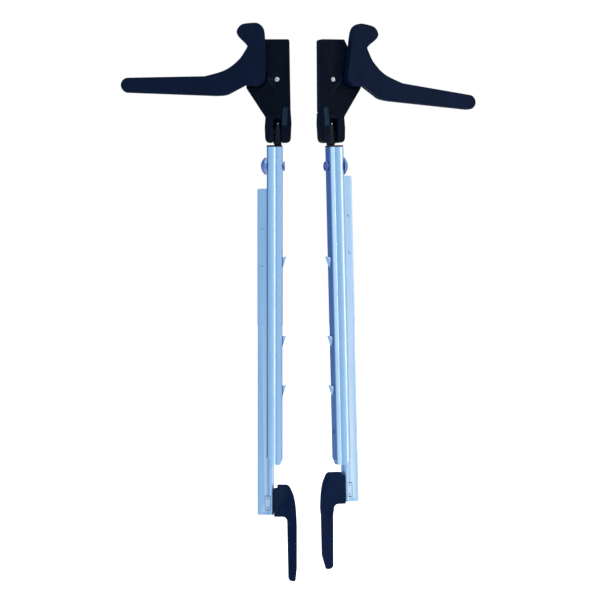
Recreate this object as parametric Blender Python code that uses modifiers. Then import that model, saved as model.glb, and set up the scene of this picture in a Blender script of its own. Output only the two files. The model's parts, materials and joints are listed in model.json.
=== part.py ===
"""Ladder stabilizer: a left and a right unit, mirror images, each a telescoping steel rail with a folding
head and a swinging lever on top and a foot hook below.

Frame: metres, +Z up along the rails, the front of the units toward -Y. The origin lies between the two
units, in the plane of the rails' backs and level with their lower ends. Each unit is modelled in its own
frame, with +X toward its inner side, and the right unit's frame is the mirrored one.
"""

import math

import bmesh
import bpy
from mathutils import Matrix, Vector

# Driving dimensions, in metres.
LEFT_X = -0.0279
RIGHT_X = 0.0430
RIGHT_ROLL = math.radians(24.0)
RIGHT_TILT = math.radians(-1.3)
RIGHT_LEVER_ANGLE = math.radians(-7.5)
RIGHT_SLIDE_OFFSET = 0.0143
GAP = 0.0003

RAIL_LENGTH = 0.350
RAIL_HALF_WIDTH = 0.00875
RAIL_DEPTH = 0.0130
RAIL_WALL = 0.0016
BEAD_CENTRE = (-0.0034, -0.00916)
BEAD_RADIUS = 0.00584
BEAD_HALF_ANGLE = math.radians(66.0)
TAB_BOTTOMS = (0.2170, 0.1300, 0.0755)
TAB_HEIGHT = 0.0125
TAB_REACH = 0.0040
TAB_Y = (-0.0100, -0.0035)
SLIT_Y = (-0.0085, -0.0065)
SLIT_Z = (0.0345, 0.0395)
INNER_CORNER_CUT = (0.00275, 0.006)
INNER_CUT_SLOPE = 0.246
OUTER_CORNER_CUT = (0.0060, 0.009)

SLIDE_LENGTH = 0.359
SLIDE_BOTTOM = -0.055
SLIDE_WALL = 0.0015
SLIDE_OUTER_X = -0.01895
SLIDE_INNER_X = -0.0009
PLATE_FRONT_Y = -0.0103
SLIDE_BACK_Y = -0.0019
RIB_RADIUS = 0.0026
RIVET_X = -0.0140
RIVET_RADIUS = 0.0009
RIVET_DROPS = (0.0438, 0.0844)
WINDOW_X = (-0.0108, -0.0045)
WINDOW_Z = (-0.0497, -0.0338)
CATCH_THICKNESS = 0.0010
CATCH_HALF_WIDTH = 0.0027
ARM_HALF_HEIGHT = 0.0045
ARM_CLEARANCE = 0.0006

MID_Y = -0.00565
BOLT_Z = 0.329
BOLT_RADIUS = 0.0029
DOME_RADIUS = 0.0095
DOME_HEIGHT = 0.0045
WASHER_THICKNESS = 0.0014
NUT_THICKNESS = 0.0022
NUT_ACROSS_FLATS = 0.0100
BLOCK_X = (-0.0084, 0.0063)
BLOCK_Y = (-0.0093, -0.0019)
BLOCK_Z = (0.3190, 0.3507)
CAP_LOW = (-0.0086, -0.0128, 0.3503)
CAP_HIGH = (0.0086, -0.0002, 0.3518)
SOCKET_BOTTOM = 0.3380

ROD_X = 0.0036
ROD_TOP = 0.3775
ROD_HALF_TOP = 0.0017
ROD_HALF_BOTTOM = 0.0039
ROD_DEPTH = 0.0070
ROD_PIN_Z = 0.3755
FLANGE = ((-0.0004, 0.3521), (0.0075, 0.3521), (0.0075, 0.3704), (-0.0018, 0.3704), (-0.0018, 0.3555))
FLANGE_Y = (-0.0034, -0.0024)
STOP_PIN_RADIUS = 0.0009
STOP_PIN_Y = (-0.0104, -0.0024)
SHANK_RADIUS = 0.0028
HINGE_Z = 0.366
HINGE_PIN_RADIUS = 0.0022
HINGE_PIN_X = (-0.0098, 0.0150)

HEAD_FRONT = -0.0140
COVER_THICKNESS = 0.0028
HEAD_POCKET_FRONT = -0.0100
RECESS_DEPTH = 0.0025
RECESS_RADIUS = 0.0120
SLOT_X = (-0.0021, 0.0078)
SLOT_TOP = 0.3806
SLOT_MOUTH_X = (-0.0014, 0.0071)
SLOT_LIP_BACK = -0.0107
SLOT_BACK_WALL = 0.0018
BACK_WALL_BOTTOM = 0.3699
COVER_BOTTOM = 0.3880
HUB = (-0.0208, 0.4268)
HEAD_PIN = (0.0026, 0.4241)
HEAD_PIN_RADIUS = 0.0026
SCREW_PLACES = ((-0.0060, 0.4560), (0.0125, 0.4480), (0.0130, 0.3945))
SCREW_RADIUS = 0.0009
SCREW_HEAD_RADIUS = 0.0026
SINK_DEPTH = 0.0016

LEVER_FRONT = -0.0262
LEVER_BACK = -0.0157
LEVER_HUB_RADIUS = 0.0110
ARM_TIP = (-0.1605, 0.4171)
ARM_TIP_RADIUS = 0.0081
AXLE_RADIUS = 0.0025
DISC_RADIUS = 0.0060
DISC_THICKNESS = 0.0028
AXLE_Y = (-0.0225, -0.0036)
AXLE_NUT_CORNER_RADIUS = 0.0046
SPRING_Y = -0.0062
SPRING_HALF_WIDTH = 0.0022
SPRING_THICKNESS = 0.0006

FOOT_FRONT = -0.0146
FOOT_BACK = 0.0
LEG_Y = (-0.0122, -0.0022)
LEG_TOP = -0.0640
TENON_X = (-0.0155, 0.0050)
TENON_Y = (-0.0080, -0.0040)
TENON_Z = (-0.0535, -0.0262)
CLIP_HALF_WIDTH = 0.0028
CLIP_FRONT_Y = -0.0097
CLIP_THICKNESS = 0.0005
CLIP_FLOOR_Y = -0.0066
TOE_TOP = (-0.0022, -0.1120)
TOE_END = (-0.0090, -0.1280)

BLACK = (0.012, 0.016, 0.030, 1.0)
STEEL = (0.52, 0.62, 0.74, 1.0)
BRIGHT = (0.72, 0.74, 0.78, 1.0)


def clear_scene():
    for obj in list(bpy.data.objects):
        bpy.data.objects.remove(obj, do_unlink=True)


def new_collection(name, hidden=False):
    collection = bpy.data.collections.new(name)
    bpy.context.scene.collection.children.link(collection)
    collection.hide_render = hidden
    return collection


def material(name, colour, roughness, metallic):
    made = bpy.data.materials.new(name)
    made.use_nodes = True
    shader = made.node_tree.nodes["Principled BSDF"]
    shader.inputs["Base Color"].default_value = colour
    shader.inputs["Roughness"].default_value = roughness
    shader.inputs["Metallic"].default_value = metallic
    return made


def arc(centre, radius, start, end, steps):
    """Points on a circle about centre, from start to end degrees."""
    angles = [math.radians(start + (end - start) * i / steps) for i in range(steps + 1)]
    return [(centre[0] + radius * math.cos(a), centre[1] + radius * math.sin(a)) for a in angles]


def smooth(points, steps):
    """A Catmull-Rom curve through the points, with steps spans between each pair."""
    made = [points[0]]
    for i in range(len(points) - 1):
        before = Vector(points[max(i - 1, 0)])
        first, second = Vector(points[i]), Vector(points[i + 1])
        after = Vector(points[min(i + 2, len(points) - 1)])
        for step in range(1, steps + 1):
            t = step / steps
            near = (second - before) * 0.5
            far = (after - first) * 0.5
            cubic = 2 * first - 2 * second + near + far
            square = 3 * second - 3 * first - 2 * near - far
            made.append(tuple(cubic * t**3 + square * t**2 + near * t + first))
    return made


def poly_curve(name, points, closed, extrude):
    """A flat curve object in its own XY plane, extruded both ways along Z."""
    curve = bpy.data.curves.new(name, "CURVE")
    curve.dimensions = "2D"
    curve.fill_mode = "BOTH" if closed else "NONE"
    curve.extrude = extrude
    spline = curve.splines.new("POLY")
    spline.points.add(len(points) - 1)
    for point, (x, y) in zip(spline.points, points):
        point.co = (x, y, 0.0, 1.0)
    spline.use_cyclic_u = closed
    made = bpy.data.objects.new(name, curve)
    bpy.context.scene.collection.objects.link(made)
    return made


def curve_to_mesh(curve_object, matrix):
    """The curve as a welded mesh with its flat faces whole, moved by matrix. The curve is removed."""
    bpy.context.view_layer.update()
    graph = bpy.context.evaluated_depsgraph_get()
    mesh = bpy.data.meshes.new_from_object(curve_object.evaluated_get(graph))
    curve = curve_object.data
    bpy.data.objects.remove(curve_object, do_unlink=True)
    bpy.data.curves.remove(curve)
    shape = bmesh.new()
    shape.from_mesh(mesh)
    bmesh.ops.remove_doubles(shape, verts=shape.verts, dist=0.000005)
    bmesh.ops.dissolve_limit(shape, angle_limit=0.002, verts=shape.verts, edges=shape.edges)
    bmesh.ops.transform(shape, matrix=matrix, verts=shape.verts)
    bmesh.ops.recalc_face_normals(shape, faces=shape.faces)
    shape.to_mesh(mesh)
    shape.free()
    return mesh


def outline_mesh(name, points, front, back):
    """A solid whose outline lies in the XZ plane and which fills y from front to back."""
    curve = poly_curve(name, points, True, (back - front) / 2)
    upright = Matrix.Translation((0, (front + back) / 2, 0)) @ Matrix.Rotation(math.pi / 2, 4, "X")
    return curve_to_mesh(curve, upright)


def box_mesh(name, low, high, turn=None):
    """A box between two corners, turned about its centre when turn is given."""
    shape = bmesh.new()
    bmesh.ops.create_cube(shape, size=1.0)
    size = [h - l for l, h in zip(low, high)]
    centre = [(l + h) / 2 for l, h in zip(low, high)]
    matrix = Matrix.Translation(centre) @ (turn or Matrix.Identity(4)) @ Matrix.Diagonal((*size, 1.0))
    bmesh.ops.transform(shape, matrix=matrix, verts=shape.verts)
    return finished(name, shape)


def rod_mesh(name, start, end, radius, sides=18, end_radius=None):
    """A round or many-sided bar between two points, or a cone when end_radius is given."""
    start, end = Vector(start), Vector(end)
    along = end - start
    shape = bmesh.new()
    bmesh.ops.create_cone(
        shape,
        cap_ends=True,
        segments=sides,
        radius1=radius,
        radius2=radius if end_radius is None else end_radius,
        depth=along.length,
    )
    turn = along.to_track_quat("Z", "Y").to_matrix().to_4x4()
    bmesh.ops.transform(shape, matrix=Matrix.Translation((start + end) / 2) @ turn, verts=shape.verts)
    return finished(name, shape)


def finished(name, shape):
    bmesh.ops.recalc_face_normals(shape, faces=shape.faces)
    mesh = bpy.data.meshes.new(name)
    shape.to_mesh(mesh)
    shape.free()
    return mesh


def rounded(obj, width, segments=1, angle=40):
    bevel = obj.modifiers.new("Rounded edges", "BEVEL")
    bevel.width = width
    bevel.segments = segments
    bevel.limit_method = "ANGLE"
    bevel.angle_limit = math.radians(angle)
    return obj


class Unit:
    """One side of the pair: its collections, its materials and the empties its pieces hang on."""

    def __init__(self, side, matrix, slide_offset, lever_angle, parts, cutters, looks):
        self.side = side
        self.parts = parts
        self.cutters = cutters
        self.looks = looks
        self.body = self.empty("body", None, matrix)
        self.slide = self.empty("slide", self.body, Matrix.Translation((0, 0, slide_offset)))
        hinge = Vector((ROD_X, MID_Y, HINGE_Z))
        self.head = self.empty("head_hinge", self.body, Matrix.Translation(hinge))
        hub = Vector((HUB[0], 0, HUB[1]))
        turn = Matrix.Rotation(lever_angle, 4, "Y")
        self.lever = self.empty("lever_hub", self.head, Matrix.Translation(hub - hinge) @ turn)
        self.origins = {self.body: Vector(), self.slide: Vector(), self.head: hinge, self.lever: hub}

    def empty(self, name, parent, matrix):
        made = bpy.data.objects.new(f"{self.side}_{name}", None)
        self.parts.objects.link(made)
        made.parent = parent
        made.matrix_basis = matrix
        return made

    def place(self, name, mesh, parent, collection):
        """Links a mesh given in the unit's frame, with its origin moved to its parent's."""
        made = bpy.data.objects.new(f"{self.side}_{name}", mesh)
        mesh.transform(Matrix.Translation(-self.origins[parent]))
        collection.objects.link(made)
        made.parent = parent
        return made

    def piece(self, name, mesh, parent, look):
        made = self.place(name, mesh, parent, self.parts)
        mesh.materials.clear()
        mesh.materials.append(self.looks[look])
        mesh.shade_smooth()
        mesh.set_sharp_from_angle(angle=math.radians(35))
        return made

    def boolean(self, target, mesh, operation="DIFFERENCE"):
        """Cuts the mesh from the target, or joins it on."""
        tool = self.place(mesh.name, mesh, target.parent, self.cutters)
        tool.hide_render = True
        tool.display_type = "WIRE"
        change = target.modifiers.new(mesh.name, "BOOLEAN")
        change.operation = operation
        change.object = tool


def folded_section(name, points, low, high):
    """A strip that follows the points in plan and runs from low to high, still without thickness."""
    ribbon = poly_curve(name, points, False, (high - low) / 2)
    return curve_to_mesh(ribbon, Matrix.Translation((0, 0, (low + high) / 2)))


def thicken(obj, wall):
    solidify = obj.modifiers.new("Wall", "SOLIDIFY")
    solidify.thickness = wall
    solidify.offset = 0.0
    solidify.use_even_offset = True


def rail_section():
    """Middle line of the rail: back flange, inner wall, front strip, groove and round bead."""
    half = RAIL_WALL / 2
    inner = RAIL_HALF_WIDTH - half
    front = -RAIL_DEPTH + half
    middle_radius = BEAD_RADIUS - half
    spread = math.degrees(BEAD_HALF_ANGLE)
    bead = arc(BEAD_CENTRE, middle_radius, -90 + spread - 8, -90 - spread, 10)
    back = [(-RAIL_HALF_WIDTH, -half), (inner - 0.0012, -half), (inner, -half - 0.0012)]
    strip = [(inner, front + 0.0012), (inner - 0.0012, front), (0.0031, front)]
    return back + strip + [(0.0021, bead[0][1] + 0.0004)] + bead


def build_rail(unit):
    name = "rail"
    mesh = folded_section(name, rail_section(), 0.0, RAIL_LENGTH)
    rail = unit.piece(name, mesh, unit.body, "galvanised_steel")
    thicken(rail, RAIL_WALL)
    wall_x = (RAIL_HALF_WIDTH - RAIL_WALL, RAIL_HALF_WIDTH)
    for i, bottom in enumerate(TAB_BOTTOMS, 1):
        top = bottom + TAB_HEIGHT
        low = (wall_x[0] - 0.001, TAB_Y[0], bottom + 0.0012)
        unit.boolean(rail, box_mesh(f"tab_opening_{i}", low, (wall_x[1] + 0.001, TAB_Y[1], top)))
    for i, bottom in enumerate(TAB_BOTTOMS, 1):
        unit.boolean(rail, tab_mesh(f"tab_{i}", bottom, wall_x), "UNION")
    slit_low = (wall_x[0] - 0.001, SLIT_Y[0], SLIT_Z[0])
    unit.boolean(rail, box_mesh("slit", slit_low, (wall_x[1] + 0.001, SLIT_Y[1], SLIT_Z[1])))
    hole = rod_mesh("bolt_hole", (0.004, MID_Y, BOLT_Z), (0.012, MID_Y, BOLT_Z), BOLT_RADIUS + GAP)
    unit.boolean(rail, hole)
    inner = corner_cutter("inner_corner_cut", RAIL_HALF_WIDTH, 1, INNER_CORNER_CUT, 0.002)
    inner.transform(Matrix(((1, 0, 0, 0), (0, 1, 0, 0), (0, INNER_CUT_SLOPE, 1, 0), (0, 0, 0, 1))))
    inner.transform(Matrix.Translation((0, 0, INNER_CUT_SLOPE * RAIL_DEPTH)))
    unit.boolean(rail, inner)
    unit.boolean(rail, corner_cutter("outer_corner_cut", -RAIL_HALF_WIDTH, -1, OUTER_CORNER_CUT, -0.006))


def corner_cutter(name, edge_x, side, size, back):
    """What cuts the rail's lower corner off on a slant. It runs past both edges by a margin."""
    width, height = size
    margin = 0.006
    inside = (edge_x - side * width * (1 + margin / height), -margin)
    outside = (edge_x + side * margin, -margin)
    above = (edge_x + side * margin, height * (1 + margin / width))
    return outline_mesh(name, [inside, outside, above], -0.02, back)


def tab_mesh(name, bottom, wall_x):
    """A lanced tab: a strip of the wall bent outward about its lower edge, open at the top."""
    inset = 0.0004
    outline = [
        (wall_x[0], bottom),
        (wall_x[1], bottom),
        (wall_x[1] + TAB_REACH, bottom + TAB_HEIGHT - 0.0006),
        (wall_x[1] + TAB_REACH - 0.0014, bottom + TAB_HEIGHT),
        (wall_x[0] + 0.0002, bottom + 0.0030),
    ]
    return outline_mesh(name, outline, TAB_Y[0] + inset, TAB_Y[1] - inset)


def build_anchor(unit):
    """The block in the rail, its cap over the rail's end, and the cross bolt with its washer and nut."""
    low, high = zip(BLOCK_X, BLOCK_Y, BLOCK_Z)
    block = unit.piece("anchor_block", box_mesh("anchor_block", low, high), unit.body, "black_nylon")
    cross = rod_mesh("block_bore", (-0.02, MID_Y, BOLT_Z), (0.02, MID_Y, BOLT_Z), BOLT_RADIUS + GAP)
    unit.boolean(block, cross)
    unit.boolean(block, box_mesh("block_cap", CAP_LOW, CAP_HIGH), "UNION")
    socket_ends = (ROD_X, MID_Y, SOCKET_BOTTOM), (ROD_X, MID_Y, CAP_HIGH[2] + 0.001)
    unit.boolean(block, rod_mesh("rod_socket", *socket_ends, SHANK_RADIUS + GAP))

    washer_x = (-RAIL_HALF_WIDTH - GAP - WASHER_THICKNESS, -RAIL_HALF_WIDTH - GAP)
    washer_ends = (washer_x[0], MID_Y, BOLT_Z), (washer_x[1], MID_Y, BOLT_Z)
    washer = rod_mesh("bolt_washer", *washer_ends, DOME_RADIUS)
    washer = unit.piece("bolt_washer", washer, unit.body, "zinc_bolt")
    hole = rod_mesh("washer_hole", (-0.02, MID_Y, BOLT_Z), (0.0, MID_Y, BOLT_Z), BOLT_RADIUS + GAP)
    unit.boolean(washer, hole)

    nut_x = (RAIL_HALF_WIDTH + GAP, RAIL_HALF_WIDTH + GAP + NUT_THICKNESS)
    corner_radius = NUT_ACROSS_FLATS / math.sqrt(3)
    nut = rod_mesh("bolt_nut", (nut_x[0], MID_Y, BOLT_Z), (nut_x[1], MID_Y, BOLT_Z), corner_radius, 6)
    nut = rounded(unit.piece("bolt_nut", nut, unit.body, "zinc_bolt"), 0.0004, 1)
    hole = rod_mesh("nut_hole", (0.005, MID_Y, BOLT_Z), (0.02, MID_Y, BOLT_Z), BOLT_RADIUS + GAP)
    unit.boolean(nut, hole)
    build_carriage_bolt(unit, washer_x[0] - GAP, nut_x[1] + GAP)


def build_carriage_bolt(unit, head_x, end_x):
    """A turned profile about its own axis: the dome, then the shank."""
    height = DOME_HEIGHT
    sphere = (DOME_RADIUS**2 + height**2) / (2 * height)
    span = math.degrees(math.asin(DOME_RADIUS / sphere))
    dome = arc((0.0, height - sphere), sphere, 90, 90 - span, 4)
    shank_end = head_x - end_x
    profile = dome + [(BOLT_RADIUS, 0.0), (BOLT_RADIUS, shank_end), (0.0, shank_end)]
    shape = bmesh.new()
    verts = [shape.verts.new((x if x > 1e-6 else 0.0, 0.0, z)) for x, z in profile]
    for first, second in zip(verts, verts[1:]):
        shape.edges.new((first, second))
    mesh = bpy.data.meshes.new("carriage_bolt")
    shape.to_mesh(mesh)
    shape.free()
    bolt = bpy.data.objects.new(f"{unit.side}_carriage_bolt", mesh)
    unit.parts.objects.link(bolt)
    bolt.parent = unit.body
    bolt.location = (head_x, MID_Y, BOLT_Z)
    bolt.rotation_euler = (0, -math.pi / 2, 0)
    mesh.materials.append(unit.looks["zinc_bolt"])
    screw = bolt.modifiers.new("Turned", "SCREW")
    screw.axis = "Z"
    screw.steps = 20
    screw.render_steps = 20
    screw.use_merge_vertices = True
    screw.merge_threshold = 0.00001


def build_rod(unit):
    """The swivel rod: a tang that narrows upward, with a flange behind it, on a shank in the block."""
    bottom = CAP_HIGH[2] + GAP
    shape = bmesh.new()
    bmesh.ops.create_cube(shape, size=1.0)
    for vert in shape.verts:
        half = ROD_HALF_TOP if vert.co.z > 0 else ROD_HALF_BOTTOM
        height = ROD_TOP if vert.co.z > 0 else bottom
        side = math.copysign(half, vert.co.x)
        vert.co = (ROD_X + side, MID_Y + vert.co.y * ROD_DEPTH, height)
    rod = unit.piece("swivel_rod", finished("swivel_rod", shape), unit.body, "black_rod")
    rounded(rod, 0.0012, 2, 60)
    shank_ends = (ROD_X, MID_Y, SOCKET_BOTTOM + 2 * GAP), (ROD_X, MID_Y, bottom + 0.002)
    unit.boolean(rod, rod_mesh("rod_shank", *shank_ends, SHANK_RADIUS), "UNION")
    unit.boolean(rod, outline_mesh("rod_flange", FLANGE, *FLANGE_Y), "UNION")
    across = (ROD_X - 0.01, MID_Y, HINGE_Z), (ROD_X + 0.01, MID_Y, HINGE_Z)
    unit.boolean(rod, rod_mesh("rod_eye", *across, HINGE_PIN_RADIUS + GAP))
    along = (ROD_X, MID_Y - 0.01, ROD_PIN_Z), (ROD_X, MID_Y + 0.01, ROD_PIN_Z)
    unit.boolean(rod, rod_mesh("stop_pin_hole", *along, STOP_PIN_RADIUS + GAP, 16))
    ends = (ROD_X, STOP_PIN_Y[0], ROD_PIN_Z), (ROD_X, STOP_PIN_Y[1], ROD_PIN_Z)
    unit.piece("stop_pin", rod_mesh("stop_pin", *ends, STOP_PIN_RADIUS, 16), unit.body, "bright_pin")


def head_outline():
    left_flank = [(-0.0122, 0.4684), (-0.0195, 0.4540)]
    shoulder = arc((-0.0265, 0.4170), 0.0051, 170, 215, 3)
    outer_lobe = [(-0.0103, 0.3822), (-0.0109, 0.3710)] + arc((-0.0049, 0.3601), 0.0055, 180, 270, 5)
    inner_lobe = arc((0.0119, 0.3601), 0.0055, 270, 360, 5)
    right_side = [(0.0185, 0.3770), (0.0176, 0.3900), (0.0163, 0.4684)]
    return left_flank + shoulder + outer_lobe + inner_lobe + right_side


def cover_outline(inset):
    """The head's outline above the lobes, drawn in by inset."""
    left_flank = [(-0.0122 + inset * 0.6, 0.4684 - inset), (-0.0195 + inset, 0.4540 - inset * 0.3)]
    shoulder = arc((-0.0265, 0.4170), 0.0051 - inset, 170, 215, 3)
    bottom = [(-0.0142 + inset, COVER_BOTTOM), (0.0177 - inset, COVER_BOTTOM)]
    return left_flank + shoulder + bottom + [(0.0163 - inset, 0.4684 - inset)]


def build_head(unit):
    body = outline_mesh("head_body", head_outline(), HEAD_FRONT, 0.0)
    head = rounded(unit.piece("head_body", body, unit.head, "black_nylon"), 0.0012)
    rebate_y = -COVER_THICKNESS - GAP
    rebate = box_mesh("cover_rebate", (-0.05, rebate_y, COVER_BOTTOM - GAP), (0.05, 0.01, 0.5))
    unit.boolean(head, rebate)
    mouth_high = (SLOT_MOUTH_X[1], SLOT_LIP_BACK + 0.001, SLOT_TOP)
    unit.boolean(head, box_mesh("slot_mouth", (SLOT_MOUTH_X[0], -0.03, 0.34), mouth_high))
    low = (SLOT_X[0], SLOT_LIP_BACK, 0.34)
    unit.boolean(head, box_mesh("slot", low, (SLOT_X[1], -SLOT_BACK_WALL, SLOT_TOP)))
    unit.boolean(head, box_mesh("slot_opening", low, (SLOT_X[1], 0.02, BACK_WALL_BOTTOM)))
    recess_back = HEAD_FRONT + RECESS_DEPTH
    recess = rod_mesh(
        "hub_recess", (HUB[0], -0.03, HUB[1]), (HUB[0], recess_back, HUB[1]), RECESS_RADIUS, 32
    )
    unit.boolean(head, recess)
    unit.boolean(head, outline_mesh("pocket", pocket_outline(), HEAD_POCKET_FRONT, 0.01))
    axle_hole = rod_mesh(
        "axle_hole", (HUB[0], -0.02, HUB[1]), (HUB[0], 0.01, HUB[1]), AXLE_RADIUS + GAP
    )
    unit.boolean(head, axle_hole)
    pin_hole = rod_mesh(
        "head_pin_hole",
        (HEAD_PIN[0], -0.02, HEAD_PIN[1]),
        (HEAD_PIN[0], 0.01, HEAD_PIN[1]),
        HEAD_PIN_RADIUS + GAP,
    )
    unit.boolean(head, pin_hole)
    hinge_ends = (-0.03, MID_Y, HINGE_Z), (HINGE_PIN_X[1] + GAP, MID_Y, HINGE_Z)
    unit.boolean(head, rod_mesh("hinge_hole", *hinge_ends, HINGE_PIN_RADIUS + GAP))
    for i, (x, z) in enumerate(SCREW_PLACES, 1):
        start, end = (x, rebate_y - 0.0055, z), (x, 0.01, z)
        unit.boolean(head, rod_mesh(f"screw_socket_{i}", start, end, SCREW_RADIUS + GAP, 12))


def pocket_outline():
    """The hollow behind the hub wall: a round well about the axle and a channel out to the head pin."""
    well = arc(HUB, DISC_RADIUS + 0.0006, 40, 320, 16)
    channel_end = HEAD_PIN[0] + 0.0042
    return well + [(channel_end, HEAD_PIN[1] - 0.0048), (channel_end, HEAD_PIN[1] + 0.0048)]


def build_head_cover(unit):
    mesh = outline_mesh("head_cover", cover_outline(0.0004), -COVER_THICKNESS, 0.0)
    cover = rounded(unit.piece("head_cover", mesh, unit.head, "black_nylon"), 0.0008, 1)
    for i, (x, z) in enumerate(SCREW_PLACES, 1):
        sink_ends = (x, -SINK_DEPTH, z), (x, 0.01, z)
        unit.boolean(cover, rod_mesh(f"head_sink_{i}", *sink_ends, SCREW_HEAD_RADIUS + GAP, 20))
        hole_ends = (x, -0.02, z), (x, 0.01, z)
        unit.boolean(cover, rod_mesh(f"screw_hole_{i}", *hole_ends, SCREW_RADIUS + GAP + 0.0001, 12))
        build_cover_screw(unit, i, x, z)


def build_cover_screw(unit, number, x, z):
    """A pan-head screw with a cross recess, sunk in the cover."""
    name = f"cover_screw_{number}"
    underside = -SINK_DEPTH + GAP
    head = rod_mesh(name, (x, underside, z), (x, -0.0001, z), SCREW_HEAD_RADIUS, 20, 0.0021)
    screw = unit.piece(name, head, unit.head, "zinc_bolt")
    shank = rod_mesh(f"screw_shank_{number}", (x, -0.0078, z), (x, -0.0010, z), SCREW_RADIUS, 12)
    unit.boolean(screw, shank, "UNION")
    for turn in (0.0, math.pi / 2):
        slot = box_mesh(
            f"cross_{number}_{int(turn)}",
            (x - 0.0013, -0.0006, z - 0.00025),
            (x + 0.0013, 0.0010, z + 0.00025),
            Matrix.Rotation(turn, 4, "Y"),
        )
        unit.boolean(screw, slot)


def build_hinge_pin(unit):
    ends = (HINGE_PIN_X[0], MID_Y, HINGE_Z), (HINGE_PIN_X[1], MID_Y, HINGE_Z)
    unit.piece("hinge_pin", rod_mesh("hinge_pin", *ends, HINGE_PIN_RADIUS), unit.head, "black_rod")


def build_head_pin(unit):
    """The bright pin in the head's face, which anchors the detent spring inside."""
    x, z = HEAD_PIN
    ends = (x, HEAD_FRONT - 0.0004, z), (x, -COVER_THICKNESS - 2 * GAP, z)
    pin = unit.piece("head_pin", rod_mesh("head_pin", *ends, HEAD_PIN_RADIUS, 20), unit.head, "bright_pin")
    rounded(pin, 0.0004, 1)


def build_detent_spring(unit):
    """A bent strip round the head pin, whose free end lies against the rim of the detent disc."""
    x, z = HEAD_PIN
    wrap = arc((x, z), HEAD_PIN_RADIUS + GAP + 0.0005, -60, 200, 12)
    edge = HUB[0] + DISC_RADIUS + GAP + SPRING_THICKNESS
    leaf = smooth([(edge + 0.0060, 0.4262), (edge + 0.0018, 0.4236), (edge + 0.0002, 0.4258)], 3)
    ribbon = poly_curve("detent_spring", wrap + leaf + [(edge + 0.0009, 0.4285)], False, SPRING_HALF_WIDTH)
    turn = Matrix.Translation((0, SPRING_Y, 0)) @ Matrix.Rotation(math.pi / 2, 4, "X")
    spring = unit.piece("detent_spring", curve_to_mesh(ribbon, turn), unit.head, "spring_steel")
    thicken(spring, SPRING_THICKNESS)


def lever_outline():
    """Arm, saddle, thumb and hub, round the outline from the top of the arm's tip."""
    hub_x, hub_z = HUB
    saddle = smooth(
        [(-0.0766, 0.4268), (-0.0544, 0.4335), (-0.0397, 0.4445), (-0.0323, 0.4549), (-0.0296, 0.4600)], 3
    )
    thumb = smooth(
        [
            (-0.0328, 0.4640),
            (-0.0397, 0.4710),
            (-0.0414, 0.4770),
            (-0.0360, 0.4836),
            (-0.0249, 0.4853),
            (-0.0175, 0.4846),
            (-0.0117, 0.4784),
            (-0.0103, 0.4670),
        ],
        2,
    )
    hub = arc(HUB, LEVER_HUB_RADIUS, 0, -112, 9)
    belly = [(-0.0313, 0.4171), (-0.0495, 0.4074), (-0.0520, 0.4065), (-0.0585, 0.4056), (-0.0647, 0.4054)]
    tip = arc(ARM_TIP, ARM_TIP_RADIUS, -92, -268, 8)
    return saddle + thumb + hub + belly + tip


def build_lever(unit):
    mesh = outline_mesh("lever", lever_outline(), LEVER_FRONT, LEVER_BACK)
    lever = rounded(unit.piece("lever", mesh, unit.lever, "black_nylon"), 0.0030, 2)
    back = HEAD_FRONT + RECESS_DEPTH - GAP
    boss_ends = (HUB[0], -0.020, HUB[1]), (HUB[0], back, HUB[1])
    unit.boolean(lever, rod_mesh("hub_boss", *boss_ends, LEVER_HUB_RADIUS - 0.0002, 24), "UNION")
    bore_ends = (HUB[0], AXLE_Y[0] - GAP, HUB[1]), (HUB[0], 0.0, HUB[1])
    unit.boolean(lever, rod_mesh("axle_bore", *bore_ends, AXLE_RADIUS + GAP))


def build_axle(unit):
    """The lever's axle, with the detent disc and the nut on its end in the head's pocket."""
    x, z = HUB
    axle = rod_mesh("lever_axle", (x, AXLE_Y[0], z), (x, AXLE_Y[1], z), AXLE_RADIUS)
    unit.piece("lever_axle", axle, unit.lever, "zinc_bolt")
    front = HEAD_POCKET_FRONT + GAP
    disc = rod_mesh("detent_disc", (x, front, z), (x, front + DISC_THICKNESS, z), DISC_RADIUS, 24)
    disc = unit.piece("detent_disc", disc, unit.lever, "spring_steel")
    unit.boolean(disc, rod_mesh("disc_bore", (x, -0.02, z), (x, 0.0, z), AXLE_RADIUS + GAP))
    back = front + DISC_THICKNESS + GAP
    nut = rod_mesh("axle_nut", (x, back, z), (x, AXLE_Y[1], z), AXLE_NUT_CORNER_RADIUS, 6)
    nut = unit.piece("axle_nut", nut, unit.lever, "zinc_bolt")
    unit.boolean(nut, rod_mesh("nut_bore", (x, -0.02, z), (x, 0.0, z), AXLE_RADIUS + GAP))


def slide_section():
    """Middle line of the slide: back lip, outer wall, plate, rib and inner wall, and the other back lip."""
    half = SLIDE_WALL / 2
    outer, inner = SLIDE_OUTER_X + half, SLIDE_INNER_X - half
    back, plate = SLIDE_BACK_Y - half, PLATE_FRONT_Y + half
    rib_centre = (inner - RIB_RADIUS, -0.0092)
    rib = arc(rib_centre, RIB_RADIUS, -168, 0, 7)
    outer_wall = [(outer + 0.0045, back), (outer + 0.0008, back), (outer, back - 0.0008)]
    corner = [(outer, plate + 0.0010), (outer + 0.0010, plate)]
    inner_wall = [(inner, back - 0.0008), (inner - 0.0008, back), (inner - 0.0038, back)]
    return outer_wall + corner + [(rib[0][0] - 0.0003, plate)] + rib[1:] + inner_wall


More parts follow.
